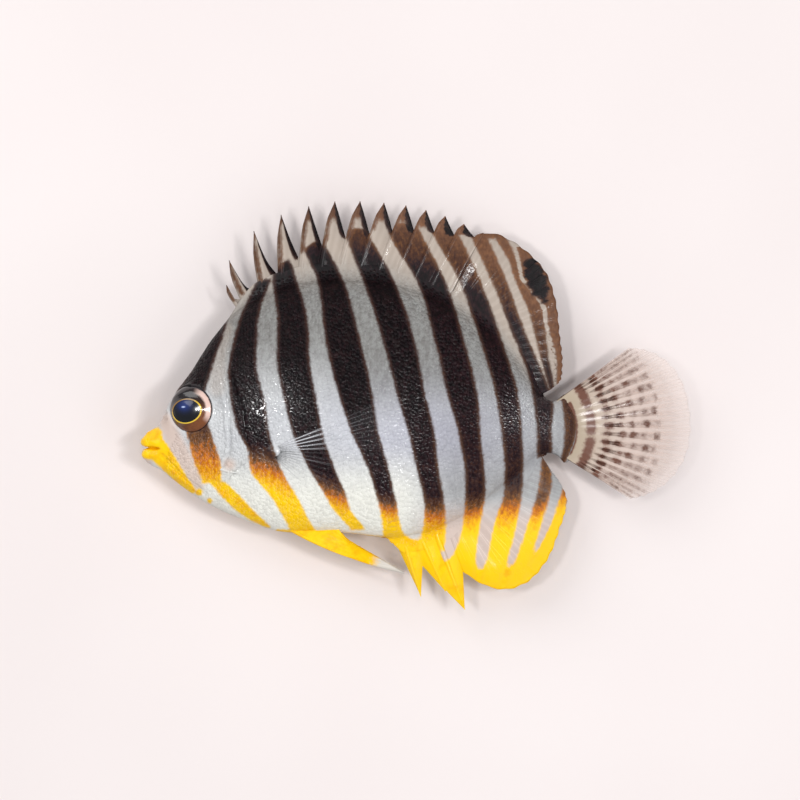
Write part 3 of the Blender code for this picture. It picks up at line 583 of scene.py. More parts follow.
class Effects:
    """Shader groups that several finishes share, each built once."""

    def __init__(self) -> None:
        """Build the groups."""
        self.barred = self._barred()
        self.film = self._film()

    def _barred(self) -> Tree:
        """Return the group that turns the fish's fields into its colours.

        Returns:
            A group with the inputs Ragged, in millimetres, and Streaks, and the outputs Color,
            Black and Yellow.
        """
        art = open_tree("barred_colours", "ShaderNodeTree", {"Ragged": "Float", "Streaks": "Float"},
                        {"Color": "Color", "Black": "Float", "Yellow": "Float"})
        given = art.given()
        fine, coarse = art.noise(0.34, 3, 1.6) - 0.5, art.noise(1.6) - 0.5
        ragged = (coarse * 0.7 + fine) * given["Ragged"] * 1.2
        bar = ragged + art.field("bar")
        dark = bar.step(-0.17, 0.19)
        stage = (art.field("stage") + fine * 1.43) * (1 / 3)
        core_colour = stage.ramp(
            (0, colour(9, 4, 6)), (0.12, colour(34, 16, 21)), (0.28, colour(74, 44, 28)),
            (0.4, colour(112, 72, 38)), (0.56, colour(192, 106, 16)), (0.72, colour(230, 160, 8)),
            (0.93, colour(249, 200, 12)),
        )
        edge_colour = stage.ramp(
            (0, colour(58, 38, 34)), (0.3, colour(104, 72, 50)), (0.56, colour(206, 130, 44)),
            (0.8, colour(249, 198, 26)),
        )
        inked = art.mix(bar.step(0.05, 0.55), edge_colour, core_colour)
        mottle = fine * 1.4 + 0.9
        inked = art.mix(art.field("tan") * mottle, inked, colour(134, 92, 66))
        # Pale lilac dashes on the dark bars: partly the skin's own fine dashes, partly painted
        # glints.
        dash_and_glint = art.noise(0.3, 2, 2.8).step(0.56, 0.74) * given["Streaks"]
        inked = art.mix(dash_and_glint * 0.11, inked, colour(104, 82, 88))
        pale = art.noise(2.6, 3).ramp((0.35, colour(190, 191, 193)), (0.65, colour(204, 205, 206)))
        grey = art.noise(0.5, 2, 2.4).ramp(
            (0.35, colour(121, 119, 116)), (0.65, colour(139, 139, 136))
        )
        pale = art.mix(art.field("deep"), pale, grey)
        # The sheen tone is a painted sheen; white, cream and blush are the fish's own colours.
        for key, share, tone in (
            ("sheen", 0.4, colour(174, 173, 195)), ("white", 0.8, colour(236, 234, 222)),
            ("cream", 0.85, colour(184, 169, 156)), ("blush", 0.7, colour(208, 180, 164)),
        ):
            pale = art.mix(art.field(key) * share, pale, tone)
        golden = (ragged + art.field("gold")).step(-0.14, 0.2)
        gold_colour = art.noise(1.1, 3).ramp(
            (0.32, colour(242, 176, 4)), (0.52, colour(249, 198, 6)), (0.7, colour(250, 206, 12))
        )
        shown = art.mix(dark, art.mix(golden, pale, gold_colour), inked)
        yellow = art.math("MAXIMUM", golden, dark * stage.step(0.45, 0.8))
        return art.close(Color=shown, Black=dark * stage.step(0.5, 0.1), Yellow=yellow)

    def _film(self) -> Tree:
        """Return the group for the wet film over the skin.

        Returns:
            A group with the inputs Matt, Glints and Curls, and the outputs Roughness, Height
            and Wet.
        """
        art = open_tree("wet_film", "ShaderNodeTree",
                        {"Matt": "Float", "Glints": "Float", "Curls": "Float"},
                        {"Roughness": "Float", "Height": "Float", "Wet": "Float"})
        given, wet = art.given(), art.field("wet")
        beads = art.noise(0.42, 3).step(0.42, 0.7) * (wet * 0.85 + 0.15) * given["Glints"]
        rough = art.noise(0.8) * 0.24 + given["Matt"] - 0.12
        from_middle = art.math("ABSOLUTE", art.noise(0.9) - 0.5)
        dry = from_middle.step(0.008, 0.028) * given["Curls"]
        return art.close(Roughness=rough, Height=art.noise(2.2) * 0.3 + beads, Wet=wet * (1 - dry))


@dataclass(frozen=True)
class Finish:
    """A wet surface: its gloss, and how its colour comes about."""

    name: str
    matt: float = 0.3
    glints: float = 1.0
    curls: float = 0.0
    bump_mm: float = 0.03
    coat: float = 0.4
    dry_coat: float = 0.12
    coat_roughness: float = 0.08
    specular: float = 0.35

    def paint(self, art: Art, effects: Effects) -> dict[str, Value]:
        """Return what feeds the shader's own colours."""
        raise NotImplementedError

    def make(self, effects: Effects) -> Material:
        """Return the material.

        Args:
            effects: Shader groups that the finish may use.

        Returns:
            A material with one Principled shader.
        """
        material = bpy.data.materials.new(self.name)
        material.use_nodes = True
        art = Art(material.node_tree)
        film = art.group(effects.film, Matt=self.matt, Glints=self.glints, Curls=self.curls)
        more = self.coat - self.dry_coat
        coat = film["Wet"] * more + self.dry_coat if more > 0 else self.coat
        bump = {"Height": film["Height"], "Distance": self.bump_mm * MM}
        art.fill(art.tree.nodes["Principled BSDF"], {
            "Coat Weight": coat, "Coat Roughness": self.coat_roughness,
            "Specular IOR Level": self.specular, "Roughness": film["Roughness"],
            "Normal": art.out("ShaderNodeBump", bump), **self.paint(art, effects),
        })
        return material


@dataclass(frozen=True)
class BarredFinish(Finish):
    """Skin, plates and fins that carry the bars."""

    ragged: float = 0.3
    streaks: float = 0.5
    plates: bool = False
    rays: float = 0.0
    clear_edge: float = 0.0

    def paint(self, art: Art, effects: Effects) -> dict[str, Value]:
        """Return the barred colours, with a tint for each plate and a pale rim, partly painted
        highlight, at its rear edge, or a clear edge for a fin.
        """
        bars = art.group(effects.barred, Ragged=self.ragged, Streaks=self.streaks)
        made = {"Base Color": bars["Color"]}
        if self.plates:
            tint, light = art.field("tint"), 1 - bars["Black"]
            # The pale rim at each plate's rear edge is partly the scale's own pale edge and partly
            # a painted highlight.
            edge = art.field("leaf_x").step(0.45, 0.95)
            for share, tone in (
                (tint * tint * bars["Black"] * 0.13, colour(66, 42, 40)),
                (tint * light * 0.08, colour(96, 84, 86)),
                (edge * light * 0.07, colour(236, 232, 234)),
            ):
                made["Base Color"] = art.mix(share, made["Base Color"], tone)
        if self.rays:
            dull = (bars["Black"] * -0.3 + 0.35) * (1 - bars["Yellow"])
            between = (1 - art.field("ray")) * dull * self.rays
            made["Base Color"] = art.mix(between, made["Base Color"], colour(74, 48, 34))
        if self.clear_edge:
            made["Alpha"] = 1 - art.field("fin_v").step(0.55, 1) * self.clear_edge
        return made


@dataclass(frozen=True)
class ClearFinish(Finish):
    """A see-through fin, with brown spots where the mesh says so."""

    body: tuple = colour(229, 208, 197)
    root: tuple = colour(176, 160, 140)
    spot: tuple = colour(106, 70, 57)
    root_alpha: float = 0.8
    edge_alpha: float = 0.35

    def paint(self, art: Art, effects: Effects) -> dict[str, Value]:
        """Return the colour, and an alpha that falls from root to edge."""
        grain = (art.noise(0.4, 3) - 0.5) * 0.8
        spots = (art.field("spot") + grain).step(0.1, 0.78)
        down = art.field("fin_v")
        body = art.mix(down.step(0.1, 0.62), self.root, self.body)
        alpha = down.step(0.1, 1) * (self.edge_alpha - self.root_alpha) + self.root_alpha
        alpha = spots * 0.4 + alpha * art.field("fade")
        return {"Base Color": art.mix(spots, body, self.spot),
                "Alpha": art.math("MINIMUM", alpha, 1)}


@dataclass(frozen=True)
class EyeFinish(Finish):
    """The eyeball: a black pupil with a painted blue reflection and a painted highlight, in a thin
    yellow ring, in a brown iris with a pale rear.
    """

    pupil: tuple = colour(7, 9, 16)

    def paint(self, art: Art, effects: Effects) -> dict[str, Value]:
        """Return rings of colour about the pupil, and the painted reflection in it."""
        ring, rim, glow = art.field("ring"), art.field("rim"), art.field("glow")
        grain = art.noise(0.25, 3) - 0.5
        low, band = grain * 0.5 + art.field("low"), grain * 0.08 + rim
        shown = low.ramp(
            (0, colour(24, 18, 22)), (0.45, colour(46, 29, 25)), (0.72, colour(86, 48, 28)),
            (1, colour(118, 68, 36)),
        )
        pale = band.step(0.66, 0.8) * band.step(0.99, 0.93) * art.field("rear").step(0.72, 0.93)
        shown = art.mix(pale * 0.9, shown, colour(232, 200, 188))
        shown = art.mix(rim.step(0.95, 1), shown, colour(30, 30, 38))
        gilt = art.mix(low.step(0.15, 0.5), colour(150, 112, 50), colour(232, 194, 62))
        shown = art.mix(ring.step(1.08, 1.14), gilt, shown)
        # Painted reflection: a soft blue patch and a small white highlight painted into the pupil.
        pupil = art.mix(glow.step(0, 1) * 0.75, self.pupil, colour(32, 52, 118))
        pupil = art.mix(glow.step(1.1, 1.9), pupil, colour(176, 190, 226))
        return {"Base Color": art.mix(ring.step(1, 1.03), pupil, shown)}


@dataclass(frozen=True)
class FloorFinish(Finish):
    """The plain pale floor."""

    def paint(self, art: Art, effects: Effects) -> dict[str, Value]:
        """Return a plain colour with a faint cloud in it."""
        tones = (0.3, colour(224, 214, 212)), (0.7, colour(229, 220, 218))
        return {"Base Color": art.noise(60).ramp(*tones)}


@dataclass
class EyeSeat:
    """Where an eye sits: an oblate ball in the side of the head, turned a little forward."""

    centre: tuple[float, float] = (-24.95, -0.45)
    radius: float = 2.8
    half_depth: float = 1.64
    out: float = 2.7
    turn: float = math.radians(18.0)
    seen_centre: tuple[float, float] = (-25.26, -0.42)
    seen_radius: float = 2.55

    def place(self, side: Side, x: Array, y: Array, z: Array) -> Array:
        """Return points given from the ball's centre, with z along its look.

        Args:
            side: Side of the fish.
            x: Places across the look, towards the tail.
            y: Places across the look, towards the back.
            z: Places along the look.

        Returns:
            Points of the frame.
        """
        across = x * math.cos(self.turn) - z * math.sin(self.turn)
        out = x * math.sin(self.turn) + z * math.cos(self.turn)
        up = FORM.plane_z + side.value * (self.out + out)
        return np.stack([self.centre[0] + across, self.centre[1] + y, up], -1)

    def brow(self, x: Array) -> Array:
        """Return how far the ball's rim stands from the middle plane."""
        return self.out + math.tan(self.turn) * (x - self.centre[0]) + 0.63

    def away(self, x: Array, y: Array) -> Array:
        """Return distances from the middle of what shows of the eye."""
        across = (x - self.seen_centre[0]) / math.cos(self.turn)
        return np.hypot(across, y - self.seen_centre[1])


@dataclass
class FoldedFan:
    """The folded right pectoral fin's outline, and the bed that it needs in the flank."""

    hub: tuple[float, float] = (-16.7, -5)
    root_radius: float = 1.5
    radius: float = 13.3
    drop: float = 2.8
    axis: float = 10.0
    half_spread: float = 54.0
    thickness: float = 0.5
    gap: float = 0.3

    def reach(self, turn: Array) -> Array:
        """Return how far a spread fin reaches at an angle in degrees."""
        return self.radius - self.drop * (np.abs(self.axis - turn) / self.half_spread) ** 1.6

    def floor(self, x: Array, y: Array) -> Array:
        """Return the height of the folded fin's underside."""
        below = FORM.midplane(x) - FORM.flank(x, y) - self.gap - self.thickness
        return np.maximum(0, below)

    def covers(self, x: Array, y: Array) -> Array:
        """Return 1 over the folded fin and 0 well outside it, with a soft edge."""
        away = np.hypot(x - self.hub[0], y - self.hub[1])
        turn = np.degrees(np.arctan2(y - self.hub[1], x - self.hub[0]))
        off = np.maximum(-34 - turn, turn + 6) * np.radians(1) * away
        beyond = np.maximum(away - (self.reach(turn) - 1), self.root_radius - away)
        return ease(np.maximum(off, beyond), 1.1, 0.35)


@dataclass
class Skin:
    """One seamless skin from the lips to the tail's root, on both sides."""

    sides: int = 288
    coat_depth: float = 0.1
    nose_x: float = -30.0
    nose_length: float = 0.65
    end_x: float = 18.3
    end_length: float = 3.4
    end_radius: float = 6.6
    end_centre: tuple[float, float] = (11.71, -2.58)
    sheath: float = 1.9
    sheath_half: float = 0.13
    flare: float = 0.62
    flare_fall: float = 0.7
    nostrils: tuple[tuple[float, float, float], ...] = ((-28.1, -0.95, 0.24), (-28.05, -1.6, 0.19))
    eye: EyeSeat = field(default_factory=EyeSeat)
    fan: FoldedFan = field(default_factory=FoldedFan)
    points: Array = field(init=False)
    normals: Array = field(init=False)
    station_x: Array = field(init=False)
    ring_x: Array = field(init=False)

    def __post_init__(self) -> None:
        """Shape the skin's grid of points."""
        self.station_x, self.ring_x, close = self._stations()
        base = self._rings(self.station_x, self.ring_x, close)
        normals = self._grid_normals(base)
        side = np.where(np.arange(self.sides) <= self.sides // 2, 1, -1)[None, :]
        raised = base + normals * self._relief(base[..., 0], base[..., 1])[..., None]
        out = np.abs(raised[..., 2] - FORM.midplane(raised[..., 0]))
        raised[..., 2] += side * self._lids(raised[..., 0], raised[..., 1], out)
        raised[..., 2] = np.maximum(raised[..., 2], self.coat_depth)
        bed = self.fan.covers(raised[..., 0], raised[..., 1])
        top = self.fan.floor(raised[..., 0], raised[..., 1]) + self.fan.thickness + 0.15
        lifted = np.maximum(raised[..., 2], top * bed)
        raised[..., 2] = np.where(side < 0, lifted, raised[..., 2])
        self.points, self.normals = raised, self._grid_normals(raised)

    def _stations(self) -> tuple[Array, Array, Array]:
        """Return each ring's x on the form, its place and how far it is closed.

        Returns:
            Three arrays. The last runs from near 0 at the nose to 1.
        """
        bend = np.linspace(0.04, math.pi / 2, 16)[:-1]
        nose = self.nose_x - self.nose_length * np.cos(bend)
        head = np.arange(self.nose_x, -17.6, 0.105)
        trunk = np.arange(-17.6, 14, 0.215)
        tail = np.linspace(14, self.end_x, 30)
        place = np.concatenate([nose, head, trunk, tail])
        close = np.concatenate([np.sin(bend), np.ones(len(place) - len(bend))])
        return np.maximum(place, self.nose_x), place, close

    def _rings(self, form_x: Array, place: Array, close: Array) -> Array:
        """Return the skin before its relief.

        Args:
            form_x: Each ring's x on the body's form.
            place: Each ring's own x.
            close: How much of its full size each ring has.

        Returns:
            Points by ring and turn, which starts at the keel and climbs the left side.
        """
        x = form_x[:, None]
        turn = -math.pi / 2 + 2 * math.pi * np.arange(self.sides)[None, :] / self.sides
        up, out = np.sin(turn), np.sign(np.round(np.cos(turn), 9))
        level = FORM.level(x)
        dorsal = self.sheath * ease(x, -21.8, -18) * ease(x, 14.6, 12.6)
        anal = self.sheath * ease(x, -3.6, -1.2) * ease(x, 14.8, 12.6)
        top = FORM.back(x) - self.coat_depth - level
        low = level - FORM.belly(x) - self.coat_depth
        reach = np.where(up > 0, top, low)
        extra = np.where(up > 0, dorsal, anal)
        away = np.abs(up) * (reach + extra)
        power = np.where(up > 0, FORM.upper_roundness, FORM.lower_roundness)
        share = np.clip(away / reach, 0, 1)
        flesh = (FORM.width(x) - self.coat_depth) * (1 - share**power) ** (1 / power)
        beyond = np.maximum(away - reach, 0)
        closing = np.sqrt(1 - np.clip(beyond / np.maximum(extra, 1e-6), 0, 1) ** 4)
        sheath = self.sheath_half + self.flare * np.exp(-beyond / self.flare_fall)
        sheath = sheath * closing * extra / self.sheath
        half = (flesh**3 + sheath**3) ** (1 / 3)
        end = np.clip((place - (self.end_x - self.end_length)) / self.end_length, 0, 1)
        half = half * np.sqrt(1.0002 - end**2.5)[:, None]
        y = level + np.sign(up) * away * close[:, None]
        z = FORM.midplane(x) + out * half * close[:, None]
        across = np.clip(y - self.end_centre[1], -0.85 * self.end_radius, 0.85 * self.end_radius)
        arc = self.end_radius - np.sqrt(self.end_radius**2 - across**2)
        drawn = place[:, None] - arc * ease(place, 14.4, self.end_x)[:, None]
        return np.stack([drawn, y, z], -1)

    def _grid_normals(self, points: Array) -> Array:
        """Return outward normals of the grid."""
        along = np.gradient(points, axis=0)
        around = np.roll(points, -1, 1) - np.roll(points, 1, 1)
        return unit(np.cross(along, around))

    def _relief(self, x: Array, y: Array) -> Array:
        """Return how far the skin stands over the plain form.

        Args:
            x: Places along the fish.
            y: Places across the fish.

        Returns:
            Heights, the same on both sides.
        """
        mouth = ease(x, -28.55, -29.5)
        lips = 0.42 * hump(y + 4.1, 0.55) + 0.36 * hump(y + 5.55, 0.5)
        slit = 0.75 * hump(y + 4.84 + 0.06 * (x + 29), 0.13)
        height = mouth * (lips - slit)
        height += 0.12 * hump(x + 28.6, 0.35) * hump(y + 4.5, 1)
        away = self.eye.away(x, y)
        height -= 1.7 * ease(away, self.eye.seen_radius + 0.06, self.eye.seen_radius - 0.3)
        height += 0.1 * hump(away - self.eye.seen_radius - 0.2, 0.18)
        for hole_x, hole_y, radius in self.nostrils:
            off = np.hypot(x - hole_x, y - hole_y)
            height += 0.09 * hump(off - 1.5 * radius, 0.55 * radius) - 0.3 * hump(off, 0.8 * radius)
        height += self._gill_relief(x, y)
        lobe = np.hypot((x + 15.9) / 1.1, (y + 5.1) / 0.85)
        height += 0.34 * ease(lobe, 1.15, 0.25)
        height += 0.02 * np.sin(1.7 * x + 0.9 * y) * np.sin(1.3 * y - 0.6 * x)
        return height

    def _lids(self, x: Array, y: Array, out: Array) -> Array:
        """Return how far skin that stands out so far swells to meet the rim of each eye."""
        near = ease(self.eye.away(x, y), self.eye.seen_radius + 1.2, self.eye.seen_radius + 0.1)
        return np.clip(self.eye.brow(x) - out, 0, 0.85) * near * ease(out, 0, 0.9)

    def _gill_relief(self, x: Array, y: Array) -> Array:
        """Return the relief of the cheek plate and the gill cover."""
        behind = x - FORM.gill_line(y)
        ends = ease(y, -9.2, -7.9) * ease(y, 4.2, 2.8)
        cover = 0.13 * ease(behind, -2.6, -0.8) * ease(behind, 0.1, -0.08)
        groove = 0.09 * hump(behind - 0.2, 0.15)
        plate_x = Run((-8.5, -22.9), (-6.6, -21.6), (-5.4, -21.1), (-2.4, -21), (0.8, -21.3),
                      (3.5, -22))
        past = x - plate_x(y)
        rise = ease(y, -8.2, -6.8) * ease(y, 3.2, 1.2)
        cheek = 0.1 * ease(past, -1.6, -0.2) * ease(past, 0.12, -0.05)
        cheek += 0.08 * hump(past + 0.1, 0.16) - 0.1 * hump(past - 0.26, 0.14)
        chin = Stroke(((-28.6, -5.6, 0.1), (-26.3, -7.9, 0.1), (-23.6, -9.9, 0.1)))
        fold = -0.08 * hump(chin.inside(x, y), 0.16)
        return ends * (cover - groove) + rise * cheek + fold

    def map_place(self, ring: Array, turn: Array) -> Array:
        """Return places on the skin's map, from ring and turn numbers."""
        u = 0.01 + 0.98 * np.asarray(ring) / (len(self.station_x) - 1)
        v = 0.01 + 0.98 * np.asarray(turn) / self.sides
        return np.stack(np.broadcast_arrays(u, v), -1)

    def build(self, material: Material) -> Object:
        """Return the skin as a piece that stands for the solids of flesh.

        Args:
            material: Finish of the skin.

        Returns:
            The piece, on its body.
        """
        rings, sides = self.points.shape[:2]
        faces = grid_faces(rings, sides, wrap=True)[:, ::-1].tolist()
        ring, turn = np.divmod(np.arange(len(faces))[:, None], sides)
        quads = self.map_place(ring + (0, 1, 1, 0), turn + (1, 1, 0, 0)).reshape(-1, 2)
        around = np.arange(sides)
        faces += [around[::-1].tolist(), (around + (rings - 1) * sides).tolist()]
        caps = [self.map_place(0, around[::-1]), self.map_place(rings - 1, around)]
        flat = self.points.reshape(-1, 3)
        fields = MARKS.read(flat[:, 0], flat[:, 1])
        made = mesh_piece("skin", flat, faces, fields, np.concatenate([quads, *caps]),
                          material=material)
        turn_outwards(made)
        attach(made, "root")
        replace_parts(made, "head", "lower_jaw", "gill_cover_left", "gill_cover_right", "torso",
                    "tail_stalk")
        return made


def turn_outwards(piece: Object) -> None:
    """Flip every face of a closed piece that came out inside out."""
    mesh = piece.data
    mesh.calc_loop_triangles()
    points = np.empty(len(mesh.vertices) * 3, np.float32)
    mesh.vertices.foreach_get("co", points)
    corners = np.empty(len(mesh.loop_triangles) * 3, np.int32)
    mesh.loop_triangles.foreach_get("vertices", corners)
    a, b, c = points.reshape(-1, 3)[corners.reshape(-1, 3)].transpose(1, 0, 2).astype(float)
    if np.einsum("ij,ij->", a, np.cross(b, c)) < 0:
        mesh.flip_normals()


@dataclass
class ScaleCoat:
    """Thousands of small plates over the skin, set out by a tree of geometry nodes."""

    skin: Skin
    overlap: float = 1.6
    scatter: float = 0.5
    seed: int = 7
    pitch: Run = Run((-28, 0.27), (-24, 0.31), (-19, 0.39), (-8, 0.45), (5, 0.43),
                     (12, 0.34), (17, 0.26))
    first_x: float = -27.9
    last_x: float = 18.0
    split_x: float = -7.0
    lowest_m: float = 0.00001

    def plate(self) -> Object:
        """Return one plate, 1 across, with its rim turned down and its rear edge rounded.

        Returns:
            A helper object of a few dozen faces, removed after use.
        """
        share_x = np.array([0, 0.02, 0.36, 0.68, 0.93, 1])
        share_y = np.array([0, 0.06, 0.5, 0.94, 1])
        x, y = np.meshgrid(share_x, share_y, indexing="ij")
        across = 2 * y - 1
        rounding = 0.42 * x**2 * across**2
        inner = (x > 0.01) & (x < 0.99) & (y > 0.01) & (y < 0.99)
        height = np.where(inner, 0.02 + 0.026 * x + 0.008 * (1 - across**2), -0.09)
        points = np.stack([x - 0.5 - rounding, 0.5 * across * (1 - 0.12 * x), height], -1)
        return mesh_piece("plate", points.reshape(-1, 3) / MM, grid_faces(6, 5),
                          {"leaf_x": x.ravel(), "leaf_y": y.ravel()})

    def tree(self) -> Tree:
        """Return the geometry nodes that set out the plates.

        Returns:
            A tree with the inputs Plate, Overlap, Seed and Finish.
        """
        art = open_tree(
            "coat_of_plates", "GeometryNodeTree",
            {"Geometry": "Geometry", "Plate": "Object", "Overlap": "Float", "Seed": "Int",
             "Finish": "Material"},
            {"Geometry": "Geometry"},
        )
        given = art.given()
        tint = {"Geometry": given["Geometry"], "Name": "tint", "Value": art.out(
            "FunctionNodeRandomValue", {"Seed": given["Seed"]}, 1, data_type="FLOAT")}
        tinted = art.out("GeometryNodeStoreNamedAttribute", tint, data_type="FLOAT", domain="POINT")
        axes = [art.carried(key, "FLOAT_VECTOR") for key in ("outward", "tailward")]
        lie = art.out("FunctionNodeAxesToRotation", dict(enumerate(axes)),
                      primary_axis="Z", secondary_axis="X")
        limits = {"Min": (-0.02, -0.02, -0.2), "Max": (0.02, 0.02, 0.2), "Seed": given["Seed"]}
        sway = art.out("FunctionNodeRandomValue", limits, "Value", data_type="FLOAT_VECTOR")
        turned = art.out("FunctionNodeRotateRotation", {0: lie, 1: sway}, rotation_space="LOCAL")
        size = art.carried("size") * given["Overlap"]
        tall = size * art.carried("relief")
        placed = art.out("GeometryNodeInstanceOnPoints", {
            "Points": tinted, "Rotation": turned,
            "Instance": art.out("GeometryNodeObjectInfo", {"Object": given["Plate"]}, "Geometry"),
            "Scale": art.out("ShaderNodeCombineXYZ", {"X": size, "Y": size, "Z": tall}),
        })
        leaf = art.out("ShaderNodeCombineXYZ", {
            "X": art.carried("leaf_x") * PATCH, "Y": art.carried("leaf_y") * PATCH,
        })
        spot = art.out("ShaderNodeVectorMath", {0: art.carried("root_uv", "FLOAT_VECTOR"), 1: leaf},
                       operation="ADD")
        real = art.out("GeometryNodeRealizeInstances", {"Geometry": placed})
        mapped = art.out("GeometryNodeStoreNamedAttribute",
                         {"Geometry": real, "Name": UV_NAME, "Value": spot},
                         data_type="FLOAT2", domain="CORNER")
        return art.dress(mapped, given["Finish"])

    def roots(self) -> dict[str, Array]:
        """Return where the plates grow, with their lie, size and place on the skin's map.

        Returns:
            Arrays by name, one row for each plate.
        """
        skin, chance = self.skin, np.random.default_rng(self.seed)
        points = np.concatenate([skin.points, skin.points[:, :1]], 1)
        normals = np.concatenate([skin.normals, skin.normals[:, :1]], 1)
        numbers = np.arange(len(skin.ring_x), dtype=float)
        shares = np.linspace(0, 1, skin.sides + 1)
        rings, turns, sizes = [], [], []
        row_x, odd = self.first_x, False
        while row_x < self.last_x:
            pitch = float(self.pitch(row_x))
            ring = float(np.interp(row_x, skin.ring_x, numbers))
            loop = pick(points, np.full(skin.sides + 1, ring), shares)
            steps = np.linalg.norm(np.diff(loop, axis=0), axis=1)
            length = np.concatenate([[0], np.cumsum(steps)])
            ends = (0, length[skin.sides // 2], length[-1])
            for low, high in zip(ends, ends[1:]):
                count = max(int((high - low) / pitch), 4)
                shift = (np.arange(count) + (0.25 if odd else 0.75)) / count
                shift = shift + chance.uniform(-0.5, 0.5, count) * self.scatter / count
                turns.append(np.interp(low + shift * (high - low), length, shares))
                stray = chance.uniform(-0.5, 0.5, count) * self.scatter * pitch
                rings.append(np.interp(row_x + stray, skin.ring_x, numbers))
                sizes.append(pitch * chance.uniform(0.86, 1.16, count))
            row_x += pitch * 0.86
            odd = not odd
        ring, turn, size = (np.concatenate(values) for values in (rings, turns, sizes))
        place, facing = pick(points, ring, turn), unit(pick(normals, ring, turn))
        x, y = place.T[:2]
        wet, calm = MARKS.read(x, y)["wet"], ease(y, -3.5, -8.5)
        beyond = np.maximum(y - FORM.back(x), FORM.belly(x) - y)
        flat = 1 - 0.7 * ease(beyond, -2.2, 0.6)
        relief = (1 - 0.65 * np.maximum(calm, wet)) * flat
        loose = (0.03 * (1 - 0.65 * calm) + 0.15 * wet) * flat
        facing = unit(facing + chance.normal(size=facing.shape) * loose[:, None])
        along = pick(points, ring + 2, turn) - pick(points, ring - 2, turn)
        along = unit(along - facing * np.sum(along * facing, -1, keepdims=True))
        uv = skin.map_place(ring, turn * skin.sides) - PATCH / 2
        made = {"place": place, "outward": facing, "tailward": along, "relief": relief,
                "size": size * (1 - 0.5 * ease(beyond, -0.4, 1)),
                "root_uv": np.concatenate([uv, np.zeros((len(uv), 1))], -1)}
        keep = self.wanted(place) & (beyond < 1.1 - 1.2 * ease(x, -18, -20.5))
        return {key: value[keep] for key, value in made.items()}

    def wanted(self, place: Array) -> Array:
        """Return where plates grow: not on the lips, the eyes or the fins' roots."""
        x, y = place[:, 0], place[:, 1]
        muzzle = x > -27.6 - 0.55 * np.clip(-y - 5, -1.5, 2.5)
        eye = self.skin.eye.away(x, y) > self.skin.eye.seen_radius + 0.42
        gill = np.abs(x - FORM.gill_line(y) - 0.15) > 0.12
        gill |= (y > 3.6) | (y < -8.8)
        lobe = np.hypot((x + 15.9) / 1.1, (y + 5.1) / 0.85) > 0.95
        free = place[:, 2] > self.skin.coat_depth + 0.02
        bed = (self.skin.fan.covers(x, y) > 0.5) & (place[:, 2] < 4)
        return muzzle & eye & gill & lobe & free & ~bed

    def build(self, material: Material) -> list[Object]:
        """Return the coat as pieces of under 200,000 triangles.

        Args:
            material: Finish of the plates.

        Returns:
            The pieces, on their body.
        """
        roots, plate, tree = self.roots(), self.plate(), self.tree()
        x, y, z = roots["place"].T
        carried = {**MARKS.read(x, y), **roots}
        values = {"Plate": plate, "Overlap": self.overlap * MM, "Seed": self.seed,
                  "Finish": material}
        made = []
        for side in Side:
            for word in ("front", "rear"):
                here = (z > FORM.midplane(x)) == (side is Side.LEFT)
                here &= (x < self.split_x) == (word == "front")
                fields = {key: value[here] for key, value in carried.items()}
                name = f"scales_{side.word}_{word}"
                seeds = mesh_piece(name + "_roots", fields.pop("place"), fields=fields)
                made.append(plain_piece(name, seeds, tree, values))
                self.settle(made[-1].data)
        bpy.data.objects.remove(plate, do_unlink=True)
        return made

    def settle(self, mesh: Mesh) -> None:
        """Lift plates off the floor, and give each of their points its own fields."""
        points = np.empty(len(mesh.vertices) * 3, np.float32)
        mesh.vertices.foreach_get("co", points)
        points = points.reshape(-1, 3)
        points[:, 2] = np.maximum(points[:, 2], self.lowest_m)
        mesh.vertices.foreach_set("co", points.ravel())
        for key, values in MARKS.read(*points.T[:2] / MM).items():
            mesh.attributes[key].data.foreach_set("value", values.astype(np.float32))


def plain_piece(name: str, source: Object, tree: Tree,
                values: dict[str, object]) -> Object:
    """Run geometry nodes on an object and return what they make, on its body.

    Args:
        name: Name of the piece.
        source: Object that the nodes start from, removed afterwards.
        tree: The geometry nodes.
        values: What each named input takes.

    Returns:
        A plain mesh piece.
    """
    modifier = source.modifiers.new("nodes", "NODES")
    modifier.node_group = tree
    sockets = {s.name: s.identifier for s in tree.interface.items_tree if s.in_out == "INPUT"}
    for key, value in values.items():
        modifier[sockets[key]] = value
    source.update_tag()
    graph = bpy.context.evaluated_depsgraph_get()
    mesh = bpy.data.meshes.new_from_object(
        source.evaluated_get(graph), preserve_all_data_layers=True, depsgraph=graph
    )
    bpy.data.objects.remove(source, do_unlink=True)
    mesh.name = name
    mesh.shade_smooth()
    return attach(link(name, mesh), "root")


